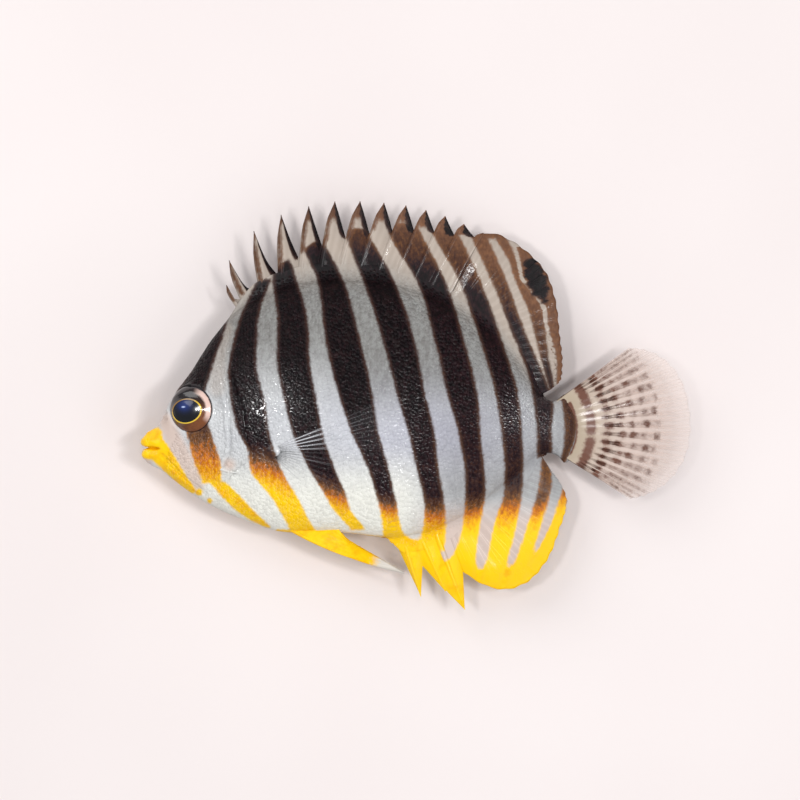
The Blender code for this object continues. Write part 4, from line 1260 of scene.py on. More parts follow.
@dataclass
class Eye:
    """One eyeball, with a domed pupil, a thin ring about it and a wide iris."""

    side: Side
    seat: EyeSeat
    pupil: tuple[float, float] = (-0.36, -0.16)
    pupil_radius: tuple[float, float] = (1.68, 1.26)
    tilt: float = math.radians(9.0)
    rows: int = 64
    turns: int = 96

    def build(self, material: Material) -> Object:
        """Return the eyeball as a piece that stands for its solid.

        Args:
            material: Finish of the eye.

        Returns:
            The piece, on its body.
        """
        seat = self.seat
        tip = np.linspace(0, math.pi, self.rows + 1)[1:-1]
        turn = np.arange(self.turns) * 2 * math.pi / self.turns
        away = np.sin(tip)[:, None] * (seat.radius - 0.03)
        x, y = away * np.cos(turn), away * np.sin(turn)
        z = np.broadcast_to(np.cos(tip)[:, None] * (seat.half_depth - 0.03), x.shape)
        x, y, z = (np.concatenate([[0], a.ravel(), [0]]) for a in (x, y, z))
        z[0], z[-1] = seat.half_depth - 0.03, 0.03 - seat.half_depth
        off_x, off_y = x - self.pupil[0], y - self.pupil[1]
        long = off_x * math.cos(self.tilt) + off_y * math.sin(self.tilt)
        short = off_y * math.cos(self.tilt) - off_x * math.sin(self.tilt)
        ring = np.hypot(long / self.pupil_radius[0], short / self.pupil_radius[1])
        ring = np.where(z > 0, ring, 3)
        dent = 0.04 * hump(ring - 1.07, 0.07) - 0.05 * ease(ring, 1.12, 1.3) * ease(ring, 1.7, 1.5)
        points = seat.place(self.side, x, y, z + dent)
        rim = seat.away(points[:, 0], points[:, 1]) / seat.seen_radius
        around = np.arctan2(y, points[:, 0] - seat.seen_centre[0])
        rear = 0.5 + 0.5 * np.cos(around - math.radians(20))
        low = 0.5 - 0.5 * np.sin(around - math.radians(35))
        # A painted reflection on the pupil: a soft blue patch, with a small white highlight streak
        # in it.
        glow = 0.9 * hump(np.hypot((x + 0.55) / 1, (y - 0.5) / 0.8), 1)
        glow += 1.5 * hump(np.hypot((x + 0.8 - 0.5 * y) / 0.26, (y - 0.3) / 0.1), 1)
        fields = {"ring": ring, "rim": rim, "rear": rear, "low": low, "glow": glow,
                  "wet": np.ones(len(x))}
        inner = grid_faces(self.rows - 1, self.turns, wrap=True) + 1
        last = len(points) - 1
        base = 1 + (self.rows - 2) * self.turns
        first = np.arange(self.turns)
        after = (first + 1) % self.turns
        caps = [(0, 1 + a, 1 + b) for a, b in zip(first, after)]
        caps += [(last, base + b, base + a) for a, b in zip(first, after)]
        name = f"eye_{self.side.word}_ball"
        made = mesh_piece(name, points, [*inner.tolist(), *caps], fields, material=material)
        turn_outwards(made)
        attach(made, "root")
        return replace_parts(made, f"eye_{self.side.word}")


@dataclass
class FinPlan:
    """A fin as columns of points from its root to its edge, with its rays as lines on it."""

    plane: Array
    middle: Array
    half: Array
    fields: dict[str, Array]
    rays: list[tuple[Array, Array]] = field(default_factory=list)

    def at(self, column: Array, share: Array) -> Array:
        """Return points of the fin's middle sheet, by column number and share of its height."""
        sheet = np.concatenate([self.plane, self.middle[..., None]], -1)
        return pick(sheet, column, share)

    def read(self, column: Array, share: Array) -> dict[str, Array]:
        """Return every field at places of the fin."""
        return {k: pick(v[..., None], column, share)[..., 0] for k, v in self.fields.items()}


def pick(sheet: Array, column: Array, share: Array) -> Array:
    """Return values of a grid between its columns and rows.

    Args:
        sheet: Values by column, row and kind.
        column: Column numbers, whole or not.
        share: Shares of the way along a column.

    Returns:
        Values by place and kind.
    """
    columns, rows = sheet.shape[:2]
    c, r = np.clip(column, 0, columns - 1.001), np.clip(share, 0, 0.9999) * (rows - 1)
    i, j = c.astype(int), r.astype(int)
    u, v = (c - i)[..., None], (r - j)[..., None]
    near = sheet[i, j] * (1 - v) + sheet[i, j + 1] * v
    far = sheet[i + 1, j] * (1 - v) + sheet[i + 1, j + 1] * v
    return near * (1 - u) + far * u


def ways(turn: Array) -> Array:
    """Return directions at angles in degrees."""
    return np.stack([np.cos(np.radians(turn)), np.sin(np.radians(turn))], -1)


def fan_out(roots: Array, ends: Array, rows: int, bow: Array | float = 0) -> Array:
    """Return columns of points from roots to ends, bent by bow in the middle.

    Args:
        roots: Root of each column.
        ends: End of each column.
        rows: Points in a column.
        bow: How far the middle of each column is moved.

    Returns:
        Points by column and row.
    """
    t = np.linspace(0, 1, rows)[None, :, None]
    bow = np.asarray(bow, float)
    bow = bow[:, None, :] if bow.ndim == 2 else bow
    return roots[:, None] * (1 - t) + ends[:, None] * t + bow * 4 * t * (1 - t)


@dataclass
class Fin:
    """A thin fin: a closed sheet of membrane, and its rays or spines in it."""

    name: str
    node: str
    slot: str
    rows: int = 44
    embed: float = 0.9
    sag: float = 0.6
    root_half: float = 0.3
    half: float = 0.12
    edge_half: float = 0.05
    ray_radius: tuple[float, float] = (0.17, 0.04)

    def plan(self) -> FinPlan:
        """Return the fin's columns and rays."""
        raise NotImplementedError

    def upright(self, roots: Array, ends: Array, bow: Array | float = 0) -> FinPlan:
        """Return a fin in the middle plane that sinks a little towards its edge.

        Args:
            roots: Root of each column.
            ends: End of each column.
            bow: How far the middle of each column is moved.

        Returns:
            The fin, without rays.
        """
        plane = fan_out(roots, ends, self.rows, bow)
        t = self.shares(plane)
        middle = FORM.midplane(plane[..., 0]) - self.sag * t * t
        return FinPlan(plane, middle, self.thickness(t), self.fields(plane, t))

    def shares(self, plane: Array) -> Array:
        """Return each point's share of the way from root to edge."""
        return np.broadcast_to(np.linspace(0, 1, self.rows), plane.shape[:2])

    def thickness(self, t: Array) -> Array:
        """Return the membrane's half thickness from root to edge."""
        body = self.half + (self.root_half - self.half) * (1 - t) ** 4
        return body - (self.half - self.edge_half) * t**3

    def fields(self, plane: Array, t: Array) -> dict[str, Array]:
        """Return the colours' fields over the fin."""
        marks = MARKS.read(plane[..., 0], plane[..., 1])
        return {**marks, "fin_v": np.array(t), "ray": np.ones(t.shape)}

    def comb(self, count: int, per_ray: int, split: float) -> Array:
        """Return 1 on the arms of forked rays and 0 between them.

        Args:
            count: Number of rays.
            per_ray: Columns to a ray.
            split: How far the two arms of a ray part, in rays.

        Returns:
            Values by column and row.
        """
        phase = (np.arange(count * per_ray + 1)[:, None] / per_ray) % 1 - 0.5
        arm = split * ease(np.linspace(0, 1, self.rows), 0.12, 0.95)[None, :] + 0.045
        return np.maximum(hump(phase - arm, 0.12), hump(phase + arm, 0.12))

    def ray_lines(self, plan: FinPlan, count: int, split: float = 0.2, samples: int = 26,
                  forks: int = 1) -> None:
        """Add soft rays that fork on their way to the edge.

        Args:
            plan: Fin that takes the rays.
            count: Number of rays.
            split: How far the two arms of a ray part, in rays.
            samples: Points on each arm.
            forks: How many times a ray forks.
        """
        columns = len(plan.plane)
        t = np.linspace(0, 1, samples)
        offsets = [(-1,), (1,)]
        for _ in range(forks - 1):
            offsets = [(*o, s) for o in offsets for s in (-1, 1)]
        width = (columns - 1) / count
        for ray in range(count):
            for signs in offsets:
                off = signs[0] * split * ease(t, 0.12, 0.95) + signs[0] * 0.045
                for k, sign in enumerate(signs[1:], 1):
                    off = off + sign * split * 0.5**k * ease(t, 0.45, 1)
                column = (ray + 0.5 + off) * width
                radius = self.ray_radius[0] * (1 - t) ** 0.8 + self.ray_radius[1]
                plan.rays.append((np.stack([column, t], -1), radius))

    def build(self, tubes: "RayTubes", membrane: Material,
              ray_material: Material) -> list[Object]:
        """Return the fin's pieces, which stand for its solid.

        Args:
            tubes: Maker of rays.
            membrane: Finish of the sheet.
            ray_material: Finish of the rays.

        Returns:
            The sheet and the rays, on their body.
        """
        plan = self.plan()
        sheet = self.sheet(plan, membrane)
        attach(sheet, "root")
        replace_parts(sheet, self.node)
        rays = tubes.build(f"{self.name}_rays", plan, ray_material)
        return [sheet, rays]

    def sheet(self, plan: FinPlan, material: Material) -> Object:
        """Return the membrane as a closed sheet with two faces.

        Args:
            plan: The fin's columns.
            material: Finish of the sheet.

        Returns:
            The piece.
        """
        columns, rows = plan.plane.shape[:2]
        count = columns * rows
        points = [
            np.concatenate([plan.plane, (plan.middle + sign * plan.half)[..., None]], -1)
            for sign in (1, -1)
        ]
        top, grid = grid_faces(columns, rows), np.arange(count).reshape(columns, rows)
        rim = np.concatenate([grid[:, 0], grid[-1, 1:], grid[-2::-1, -1], grid[0, -2:0:-1]])
        after = np.roll(rim, -1)
        rim = np.stack([rim, rim + count, after + count, after], -1)
        faces = np.concatenate([top, top[:, ::-1] + count, rim])
        u, v = np.linspace(0.01, 0.47, columns), np.linspace(0.01, 0.99, rows)
        chart = np.stack(np.meshgrid(u, v, indexing="ij"), -1).reshape(-1, 2)
        uv = np.concatenate([chart, chart + (0.51, 0)])[faces]
        uv[-len(rim) :] = chart[rim % count]
        fields = {k: np.tile(values.ravel(), 2) for k, values in plan.fields.items()}
        made = mesh_piece(f"{self.name}_membrane", np.reshape(points, (-1, 3)), faces, fields,
                          uv.reshape(-1, 2), material=material)
        turn_outwards(made)
        return made


@dataclass
class RayTubes:
    """Makes rays and spines, round tubes along lines, with geometry nodes."""

    sides: int = 7
    tree: Tree = field(init=False)

    def __post_init__(self) -> None:
        """Build the tree, with the inputs Sides, Scale and Finish."""
        art = open_tree(
            "ray_tubes", "GeometryNodeTree",
            {"Geometry": "Geometry", "Sides": "Int", "Scale": "Float", "Finish": "Material"},
            {"Geometry": "Geometry"},
        )
        given = art.given()
        circle = {"Resolution": given["Sides"], "Radius": 1}
        tube = art.out("GeometryNodeCurveToMesh", {
            "Curve": art.out("GeometryNodeMeshToCurve", {0: given["Geometry"]}),
            "Profile Curve": art.out("GeometryNodeCurvePrimitiveCircle", circle),
            "Scale": art.carried("girth") * given["Scale"], "Fill Caps": True,
        })
        real = art.out("GeometryNodeRealizeInstances", {"Geometry": tube})
        self.tree = art.dress(real, given["Finish"])

    def build(self, name: str, plan: FinPlan, material: Material) -> Object:
        """Return all the rays of a fin as one piece.

        Args:
            name: Name of the piece.
            plan: Fin with its rays.
            material: Finish of the rays.

        Returns:
            The piece, on its body.
        """
        column, share = np.concatenate([line for line, _ in plan.rays]).T
        edges, start = [], 0
        for line, _ in plan.rays:
            edges += [(start + k, start + k + 1) for k in range(len(line) - 1)]
            start += len(line)
        girth = np.concatenate([radius for _, radius in plan.rays])
        fields = {**plan.read(column, share), "girth": girth}
        return self.from_lines(name, plan.at(column, share), edges, fields, material)

    def from_lines(self, name: str, points: Array, edges: list[tuple[int, int]],
                   fields: dict[str, Array], material: Material) -> Object:
        """Return tubes along the edges of a mesh.

        Args:
            name: Name of the piece.
            points: Points of the lines.
            edges: Pairs of point numbers.
            fields: Values at each point, with the tube's radius as girth.
            material: Finish of the tubes.

        Returns:
            The piece, on its body.
        """
        lines = mesh_piece(name + "_lines", points, fields=fields, edges=edges)
        values = {"Sides": self.sides, "Scale": MM, "Finish": material}
        return plain_piece(name, lines, self.tree, values)


@dataclass
class SpinyFin(Fin):
    """A fin of spines, each with a lobe of membrane round it."""

    stem: float = 0.26

    def lobe(self, stops: Sequence[Array], share: Array) -> Array:
        """Return points of the edge round one spine.

        Args:
            stops: The notch before it, a point on its front, its tip, a point on its rear and
                the notch behind it.
            share: Shares of the way round.

        Returns:
            Points by share.
        """
        found = []
        for axis in (0, 1):
            line = [(s, p[axis]) for s, p in zip((0, 0.14, self.stem, 0.62, 1), stops)]
            rise, fall = Run(*line[:3]), Run(*line[2:])
            found.append(np.where(share <= self.stem, rise(share), fall(share)))
        return np.stack(found, -1)


@dataclass
class SpinyDorsal(SpinyFin):
    """The front of the dorsal fin: thirteen spines, each with a flag of membrane behind it."""

    root_x: Run = Run((1, -20), (2, -19.1), (3, -17.4), (5, -13.3), (8, -7), (13, 3.2))
    tip_x: Run = Run((1, -21.4), (2, -21.1), (3, -18.3), (5, -12.1), (8, -3.6), (13, 7.6))
    tip_y: Run = Run((1, 13.6), (2, 16.4), (3, 19.7), (5, 22.5), (8, 22.9), (11, 21.4), (13, 19.5))
    notch_x: Run = Run((0, -20.5), (1, -19.9), (2, -17.7), (3, -15.6), (5, -10.6), (8, -2.6),
                       (12, 6.6))
    notch_y: Run = Run((0, 11.3), (1, 12), (2, 12.7), (3, 14.7), (5, 18), (8, 19.5),
                       (12, 19))
    sag_behind: Run = Run((1, 0.5), (2, 0.8), (4, 0.15), (13, 0))
    spines: int = 13
    steps: int = 16
    spine_radius: tuple[float, float] = (0.22, 0.05)

    def tip(self, number: Array | int) -> Array:
        """Return the tips of spines."""
        return np.stack([self.tip_x(number), self.tip_y(number)], -1)

    def notch(self, number: Array | int) -> Array:
        """Return the notches behind spines."""
        return np.stack([self.notch_x(number), self.notch_y(number)], -1)

    def edge(self, number: int, share: Array) -> Array:
        """Return points of the edge round one spine."""
        front, tip, behind = self.notch(number - 1), self.tip(number), self.notch(number)
        lead = front * 0.42 + tip * 0.58 - (0.3, 0)
        trail = (tip + behind) / 2 - (0, float(self.sag_behind(number)) + 0.1)
        return self.lobe((front, lead, tip, trail, behind), share)

    def plan(self) -> FinPlan:
        """Return the lobes' columns, with a spine in each."""
        shares, numbers = [], []
        for number in range(1, self.spines + 1):
            rise = np.linspace(0, self.stem, 6)
            fall = np.linspace(self.stem, 1, self.steps - 4)[1:-1]
            here = rise if number == self.spines else np.concatenate([rise, fall])
            shares.append(here)
            numbers.append(np.full(len(here), number))
        share, number = np.concatenate(shares), np.concatenate(numbers)
        ends = np.concatenate([self.edge(n, s) for n, s in zip(range(1, self.spines + 1), shares)])
        root_x, next_x = self.root_x(number), self.root_x(number + 1)
        root_x = root_x + np.where(number == self.spines, 0.5, next_x - root_x) * (share - 0.2)
        roots = FORM.contour_point(FORM.back, root_x, -self.embed)
        plan = self.upright(roots, ends)
        lines = 0.5 + 0.5 * np.cos(6 * math.pi * share)[:, None]
        plan.fields["ray"] = plan.fields["ray"] * lines
        self.mark_flags(plan, share, number)
        t = np.linspace(0, 0.998, 26)
        for n in range(1, self.spines + 1):
            column = float(np.flatnonzero((number == n) & (share >= self.stem - 1e-9))[0])
            lead = column - 0.55 * np.sin(math.pi * t)
            radius = self.spine_radius[0] * (1 - t) ** 0.8 + self.spine_radius[1]
            plan.rays.append((np.stack([lead, t], -1), radius * (0.75 if n < 3 else 1)))
        return plan

    def mark_flags(self, plan: FinPlan, share: Array, number: Array) -> None:
        """Paint the black blade, the brown tip and the pale front of each flag.

        Args:
            plan: The fin's columns.
            share: Share of its lobe of each column.
            number: Spine of each column.
        """
        ends = plan.plane[:, -1]
        tips, notch, before = self.tip(number), self.notch(number), self.notch(number - 1)
        below = np.linalg.norm(plan.plane - ends[:, None], axis=-1)
        chord = before + (notch - before) * share[:, None]
        over = plan.plane[..., 1] - chord[:, None, 1]
        to_tip = np.linalg.norm(plan.plane - tips[:, None], axis=-1)
        flag = ease(over, 0.2, 1.2)
        share, number = share[:, None], number[:, None]
        behind = ease(share, self.stem, self.stem + 0.12)
        past = np.clip((share - self.stem) / (1.02 - self.stem), 0, 1)
        breadth = (1.5 - 0.055 * number) * np.sin(math.pi * past) ** 0.7 * (number > 1)
        blade = (breadth - below) * 0.8 * behind - (1 - behind) * 0.4
        edge = ease(over, -0.7, 0.1)
        blade = blade * edge - 2 * (1 - edge)
        spine = 0.3 - np.abs(share - self.stem + 0.06) * 3.4
        capped = (0.9 + 1.2 * ease(number, 3, 6) - to_tip) * 0.4
        brown = np.maximum(capped, spine * 0.6)
        marks = plan.fields
        bar = marks["bar"] * (1 - flag) + np.minimum(marks["bar"], -0.2) * flag
        inked = np.maximum(blade, brown - 2 * (1 - ease(over, -0.6, 0.4)))
        marks["bar"] = np.maximum(bar, inked)
        high = ease(inked, -0.3, 0)
        wanted = np.where(blade > -0.15, 0, 0.55)
        marks["stage"] = marks["stage"] * (1 - high) + wanted * high
        tan = np.where(blade > -0.15, 0, 0.1 + 0.6 * ease(number, 3, 11))
        marks["tan"] = marks["tan"] * (1 - high) + tan * high
        marks["cream"] = np.maximum(marks["cream"], 0.9 * ease(over, -1.5, 0.5))


@dataclass
class SoftFin(Fin):
    """A soft fin whose rays run from the back or the belly to a smooth edge."""

    contour: Run = FORM.back
    up: int = 1
    start_x: float = 3.5
    end_x: float = 13.9
    edge: tuple[tuple[float, float], ...] = ()
    count: int = 18
    per_ray: int = 8
    ocellus: tuple[float, float, float, float, float] = (13.55, 14.25, 2.7, 1.15, -70)
    pale_line: tuple[tuple[float, float, float], ...] = (
        (11.2, 17.6, 0.12), (11.6, 16.1, 0.16), (11.9, 14.3, 0.16), (13.1, 13.2, 0.16),
        (14, 11.7, 0.18), (14.5, 10.9, 0.18), (14.6, 9.5, 0.18), (14.9, 8.3, 0.16),
        (15.4, 6.8, 0.13), (15.6, 5.9, 0.12), (15.7, 5, 0.12), (15.7, 2.9, 0.1),
    )

    bunching: Run = Run((0, 0), (0.16, 0.25), (0.35, 0.49), (0.54, 0.71), (0.7, 0.85),
                        (0.85, 0.94), (1, 1))

    def along_edge(self, count: int) -> Array:
        """Return points along the fin's edge, closer together towards the rear."""
        points = np.array(self.edge)
        steps = np.linalg.norm(np.diff(points, axis=0), axis=1)
        reached = np.concatenate([[0], np.cumsum(steps)])
        at = reached[-1] * self.bunching(np.linspace(0, 1, count))
        lines = [Run(*zip(reached, points[:, k])) for k in (0, 1)]
        return np.stack([line(at) for line in lines], -1)

    def plan(self) -> FinPlan:
        """Return the fin's columns, rays and its own marks."""
        columns = self.count * self.per_ray + 1
        root_x = np.linspace(self.start_x, self.end_x, columns)
        roots = FORM.contour_point(self.contour, root_x, -self.up * self.embed)
        ends = self.along_edge(columns)
        scallop = 0.06 * np.cos(2 * math.pi * np.arange(columns) / self.per_ray)[:, None]
        ends = ends + unit(ends - roots) * scallop
        plan = self.upright(roots, ends)
        plan.fields["ray"] = self.comb(self.count, self.per_ray, 0.2)
        if self.up > 0:
            self.mark_margin(plan)
        self.ray_lines(plan, self.count)
        return plan

    def mark_margin(self, plan: FinPlan) -> None:
        """Paint the brown margin, the pale line inside it and the eye spot."""
        x, y = plan.plane[..., 0], plan.plane[..., 1]
        marks = plan.fields
        line = Run(*((s[1], s[0]) for s in self.pale_line))
        pale = Stroke(self.pale_line).inside(x, y)
        pale = pale - 0.11 * ease(y, 9.6, 9) * (1 - np.cos(2 * math.pi * (y - 8.77) / 1.24))
        outside = np.where(y < 17.9, x - line(y), (y - 18.6) * 0.8) - 0.12
        outside = np.maximum(outside, (y - 18.9) * 0.8)
        bar = np.maximum(marks["bar"], np.clip(outside, -2, 1))
        bar = np.where(pale > -0.12, -pale * 2 - 0.12, bar)
        margin = ease(outside, -0.1, 0.2)
        marks["stage"] = marks["stage"] * (1 - margin) + 0.85 * margin
        marks["tan"] = marks["tan"] * (1 - margin) + 0.55 * margin
        cx, cy, long, short, tilt = self.ocellus
        turn = math.radians(tilt)
        a = (x - cx) * math.cos(turn) + (y - cy) * math.sin(turn)
        b = (y - cy) * math.cos(turn) - (x - cx) * math.sin(turn)
        spot = (1 - np.hypot(a / long, b / short)) * short
        ragged = spot + 0.12 * np.sin(5.2 * a) + 0.07 * np.sin(9.1 * a + 1)
        inside = ease(ragged, -0.05, 0.1)
        marks["bar"] = np.maximum(bar, ragged * 1.5)
        marks["stage"], marks["tan"] = (marks[key] * (1 - inside) for key in ("stage", "tan"))
        marks["ray"] = np.maximum(marks["ray"], inside)


@dataclass
class SpinyAnal(SpinyFin):
    """The front of the anal fin, with three spines, the longest one last."""

    spines: tuple[tuple[float, tuple[float, float], tuple[float, float]], ...] = (
        (-2.2, (0.55, -21.55), (-2.25, -15.6)),
        (-0.3, (3.3, -20.95), (0.75, -18.1)),
        (1.6, (5.5, -23.04), (3.6, -21.1)),
    )
    last_notch: tuple[float, float] = (5.3, -18.6)
    last_root: float = 3.5

    def plan(self) -> FinPlan:
        """Return the lobes' columns, with a spine in each."""
        fronts = [s[2] for s in self.spines[1:]] + [self.last_notch]
        nexts = [s[0] for s in self.spines[1:]] + [self.last_root]
        past = np.linspace(self.stem, 1, 16)[1:]
        share = np.concatenate([np.linspace(0, self.stem, 7), past])
        roots, ends, stems = [], [], []
        for (root_x, *outline), behind, next_x in zip(self.spines, fronts, nexts):
            tip, front, behind = (np.array(place) for place in (*outline, behind))
            here = share if next_x == self.last_root else share[:-1]
            stems.append(sum(len(r) for r in roots) + 6)
            along = root_x + (next_x - root_x) * here
            roots.append(FORM.contour_point(FORM.belly, along, self.embed))
            lead, trail = front * 0.42 + tip * 0.58, (tip + behind) / 2 + (0, 0.12)
            ends.append(self.lobe((front, lead, tip, trail, behind), here))
        plan = self.upright(np.concatenate(roots), np.concatenate(ends))
        t = np.linspace(0, 0.998, 26)
        for k, stem in enumerate(stems):
            radius = (0.3 + 0.06 * k) * (1 - t) ** 0.8 + 0.05
            plan.rays.append((np.stack([np.full(len(t), float(stem)), t], -1), radius))
        return plan


@dataclass
class CaudalFin(Fin):
    """The tail fin: a wide fan with seventeen forked rays and rows of brown spots."""

    centre: tuple[float, float] = (11.71, -2.58)
    root_radius: float = 4.9
    radius: float = 19.3
    upper: tuple[float, float, float] = (36.5, 4.06, 3.4)
    lower: tuple[float, float, float] = (-32.5, 4.57, 2.2)
    wave: float = 0.25
    waves: float = 7.0
    count: int = 17
    per_ray: int = 8
    crowding: Run = Run((0, 0), (0.15, 0.085), (0.3, 0.24), (0.5, 0.5), (0.7, 0.76),
                        (0.85, 0.915), (1, 1))
    spot_rows: tuple[tuple[float, float, float], ...] = (
        (8.05, 0.62, 0.85), (9.9, 0.66, 0.3), (11.4, 0.6, 0.1), (12.8, 0.58, 0.05),
        (14.2, 0.54, 0.02), (15.5, 0.45, 0),
    )
    band_gaps: tuple[tuple[float, float, float], ...] = ((16, 1.6, 0.55), (-6, 2.6, 0.5))

    def reach(self, turn: Array) -> Array:
        """Return how far the fin reaches at an angle in degrees."""
        up = self.upper[1] * np.clip(turn / self.upper[0], 0, 1) ** self.upper[2]
        down = self.lower[1] * np.clip(turn / self.lower[0], 0, 1) ** self.lower[2]
        return self.radius - up - down

    def plan(self) -> FinPlan:
        """Return the fan's columns, rays and spots."""
        columns = self.count * self.per_ray + 1
        share = self.crowding(np.linspace(0, 1, columns))
        turn = self.lower[0] + (self.upper[0] - self.lower[0]) * share
        scallop = 0.07 * np.cos(2 * math.pi * np.arange(columns) / self.per_ray)
        roots = np.array(self.centre) + ways(turn) * self.root_radius
        ends = np.array(self.centre) + ways(turn) * (self.reach(turn) + scallop)[:, None]
        plane = fan_out(roots, ends, self.rows)
        t = self.shares(plane)
        bend = self.wave * t * t * np.sin(np.radians(turn * self.waves))[:, None]
        middle = FORM.midplane(plane[..., 0]) + bend
        ray = (np.arange(columns) / self.per_ray) % 1
        wet = MARKS.read(plane[..., 0], plane[..., 1])["wet"] * hump(ray - 0.5, 0.2)[:, None]
        fields = {"fin_v": np.array(t), "spot": self.spots(plane, columns),
                  "fade": np.ones(t.shape), "wet": wet}
        fleshy = 0.42 * (1 - t) ** 9 * ease(np.abs(turn - 2), 34, 22)[:, None]
        plan = FinPlan(plane, middle, self.thickness(t) + fleshy, fields)
        self.ray_lines(plan, self.count, split=0.24, samples=34, forks=2)
        return plan

    def spots(self, plane: Array, columns: int) -> Array:
        """Return the rows of spots, which lie on the rays.

        Args:
            plane: The fan's points.
            columns: Number of columns.

        Returns:
            Strengths about 0 to 1.
        """
        x, y = np.moveaxis(plane - self.centre, -1, 0)
        away, turn = np.hypot(x, y), np.degrees(np.arctan2(y, x))
        ray = (np.arange(columns) / self.per_ray) % 1
        on_ray = hump(ray - 0.5, 0.36)[:, None]
        number = np.floor(np.arange(columns) / self.per_ray)[:, None]
        steep = ease(np.abs(turn - 2), 14, 30)
        total = np.zeros(away.shape)
        for k, (radius, half, joined) in enumerate(self.spot_rows):
            shift = 0.22 * np.sin(2.4 * number + 1.7 * k) * (1 - joined)
            row = hump(away - radius - shift, half * (1 + 0.9 * steep * (k > 1)))
            strength = 1.05 - 0.08 * k - 0.3 * steep * (k > 1)
            strength = strength * (1 + 0.22 * np.sin(3.7 * number + 2.3 * k + 1) * (k > 0))
            for at, reach, depth in self.band_gaps if k == 0 else ():
                strength = strength * (1 - depth * hump(turn - at, reach))
            total = np.maximum(total, strength * row * (joined + (1 - joined) * on_ray))
        line = hump(ray - 0.5, 0.24)[:, None] * ease(away, 8.5, 11.5) * ease(away, 17.6, 14.5)
        streaks = (0.36 + 0.16 * steep) * line
        root = ease(away, 4.95, 5.25) * ease(away, 6.7, 6.3) * ease(np.abs(turn), 30, 26)
        return np.maximum(np.maximum(total, streaks), root)


@dataclass
class PectoralFin(Fin):
    """A pectoral fin, spread on the left side and folded on the right."""

    side: Side = Side.LEFT
    fan: FoldedFan = field(default_factory=FoldedFan)
    spread: tuple[float, float] = (-44, 24)
    shorter: float = 0.0
    count: int = 14
    per_ray: int = 6
    stand: float = 0.1
    follow: float = 0.35
    rise: float = 0.32

    def plan(self) -> FinPlan:
        """Return the fan's columns and rays."""
        columns = self.count * self.per_ray + 1
        turn = np.linspace(*self.spread, columns)
        hub = np.array(self.fan.hub)
        reach = self.fan.reach(turn) - self.shorter - 0.1
        reach = reach + 0.08 * np.cos(2 * math.pi * np.arange(columns) / self.per_ray)
        roots = hub + ways(turn) * (self.fan.root_radius - 0.7)
        ends = hub + ways(turn) * reach[:, None]
        plane = fan_out(roots, ends, self.rows)
        t = self.shares(plane)
        x, y = plane[..., 0], plane[..., 1]
        if self.side is Side.LEFT:
            root_flank = FORM.flank(hub[0] + self.fan.root_radius, hub[1])
            here = FORM.flank(x, y)
            free = self.follow * here + (1 - self.follow) * root_flank
            away = np.hypot(x - hub[0], y - hub[1])
            lift = (self.rise + 0.12) * ease(t, 0, 0.12) - 0.1
            middle = FORM.midplane(x) + np.maximum(here, free) + lift
            middle = middle + self.stand * np.maximum(away - self.fan.root_radius, 0)
        else:
            middle = self.fan.floor(x, y) + 0.25
        number = np.arange(columns) / self.per_ray
        # The white rays show most about 16 degrees up the fan: partly their own pale colour, partly
        # a painted highlight along them.
        fade = 0.04 + 0.86 * hump((turn - 16) / 12, 1) + 0.12 * np.sin(2.1 * number)
        fade = np.clip(fade, 0.04, 1)[:, None] * (1 - 0.5 * ease(t, 0.3, 0.9))
        fade = fade * ease(t, 0, 0.16)
        fields = {"fin_v": np.array(t), "spot": np.zeros(t.shape), "fade": fade,
                  "wet": np.ones(t.shape)}
        plan = FinPlan(plane, middle, self.thickness(t), fields)
        self.ray_lines(plan, self.count, split=0.18, samples=30)
        return plan


@dataclass
class PelvicFin(Fin):
    """A pelvic fin, a blade that trails back from under the belly to a long tip."""

    side: Side = Side.LEFT
    root_span: tuple[float, float] = (-15.3, -9)
    tip: tuple[float, float] = (-1.25, -18.85)
    back: tuple[float, float] = (-8, -15)
    bow: float = 0.75
    out: tuple[float, float] = (0.95, 2.1)
    count: int = 6
    per_ray: int = 6

    def keel(self, x: Array, out: float) -> Array:
        """Return the y of the belly at a distance from the middle plane."""
        share = np.minimum(out / FORM.width(x), 1)
        power = FORM.lower_roundness
        level = FORM.level(x)
        return level - (level - FORM.belly(x)) * (1 - share**power) ** (1 / power)

    def plan(self) -> FinPlan:
        """Return the blade's columns, its spine and its rays."""
        columns = self.count * self.per_ray + 1
        share = np.linspace(0, 1, columns)
        root_x = self.root_span[0] + (self.root_span[1] - self.root_span[0]) * share
        roots = np.stack([root_x, self.keel(root_x, self.out[0]) + self.embed], -1)
        shrink = (share**0.6)[:, None]
        ends = np.array(self.tip) * (1 - shrink) + np.array(self.back) * shrink
        bow = np.stack([np.zeros(columns), -self.bow * (1 - share)], -1)
        plane = fan_out(roots, ends, self.rows, bow)
        t = self.shares(plane)
        aside = self.out[0] + (self.out[1] - self.out[0]) * t
        middle = FORM.midplane(plane[..., 0]) + self.side.value * aside
        marks, x = MARKS.read(plane[..., 0], plane[..., 1]), plane[..., 0]
        marks["bar"] = np.full(t.shape, -2)
        marks["gold"] = np.clip((-4.3 - x) * 0.2 + 0.3 * (share[:, None] - 0.2), -2, 1.6)
        marks["blush"] = np.full(t.shape, 0.4)
        marks["ray"] = self.comb(self.count, self.per_ray, 0.14)
        plan = FinPlan(plane, middle, self.thickness(t), {**marks, "fin_v": np.array(t)})
        self.ray_lines(plan, self.count, split=0.14)
        t = np.linspace(0, 0.6, 20)
        radius = 0.26 * (1 - t / 0.62) ** 0.6 + 0.04
        plan.rays.append((np.stack([np.full(len(t), 0.6), t], -1), radius))
        return plan


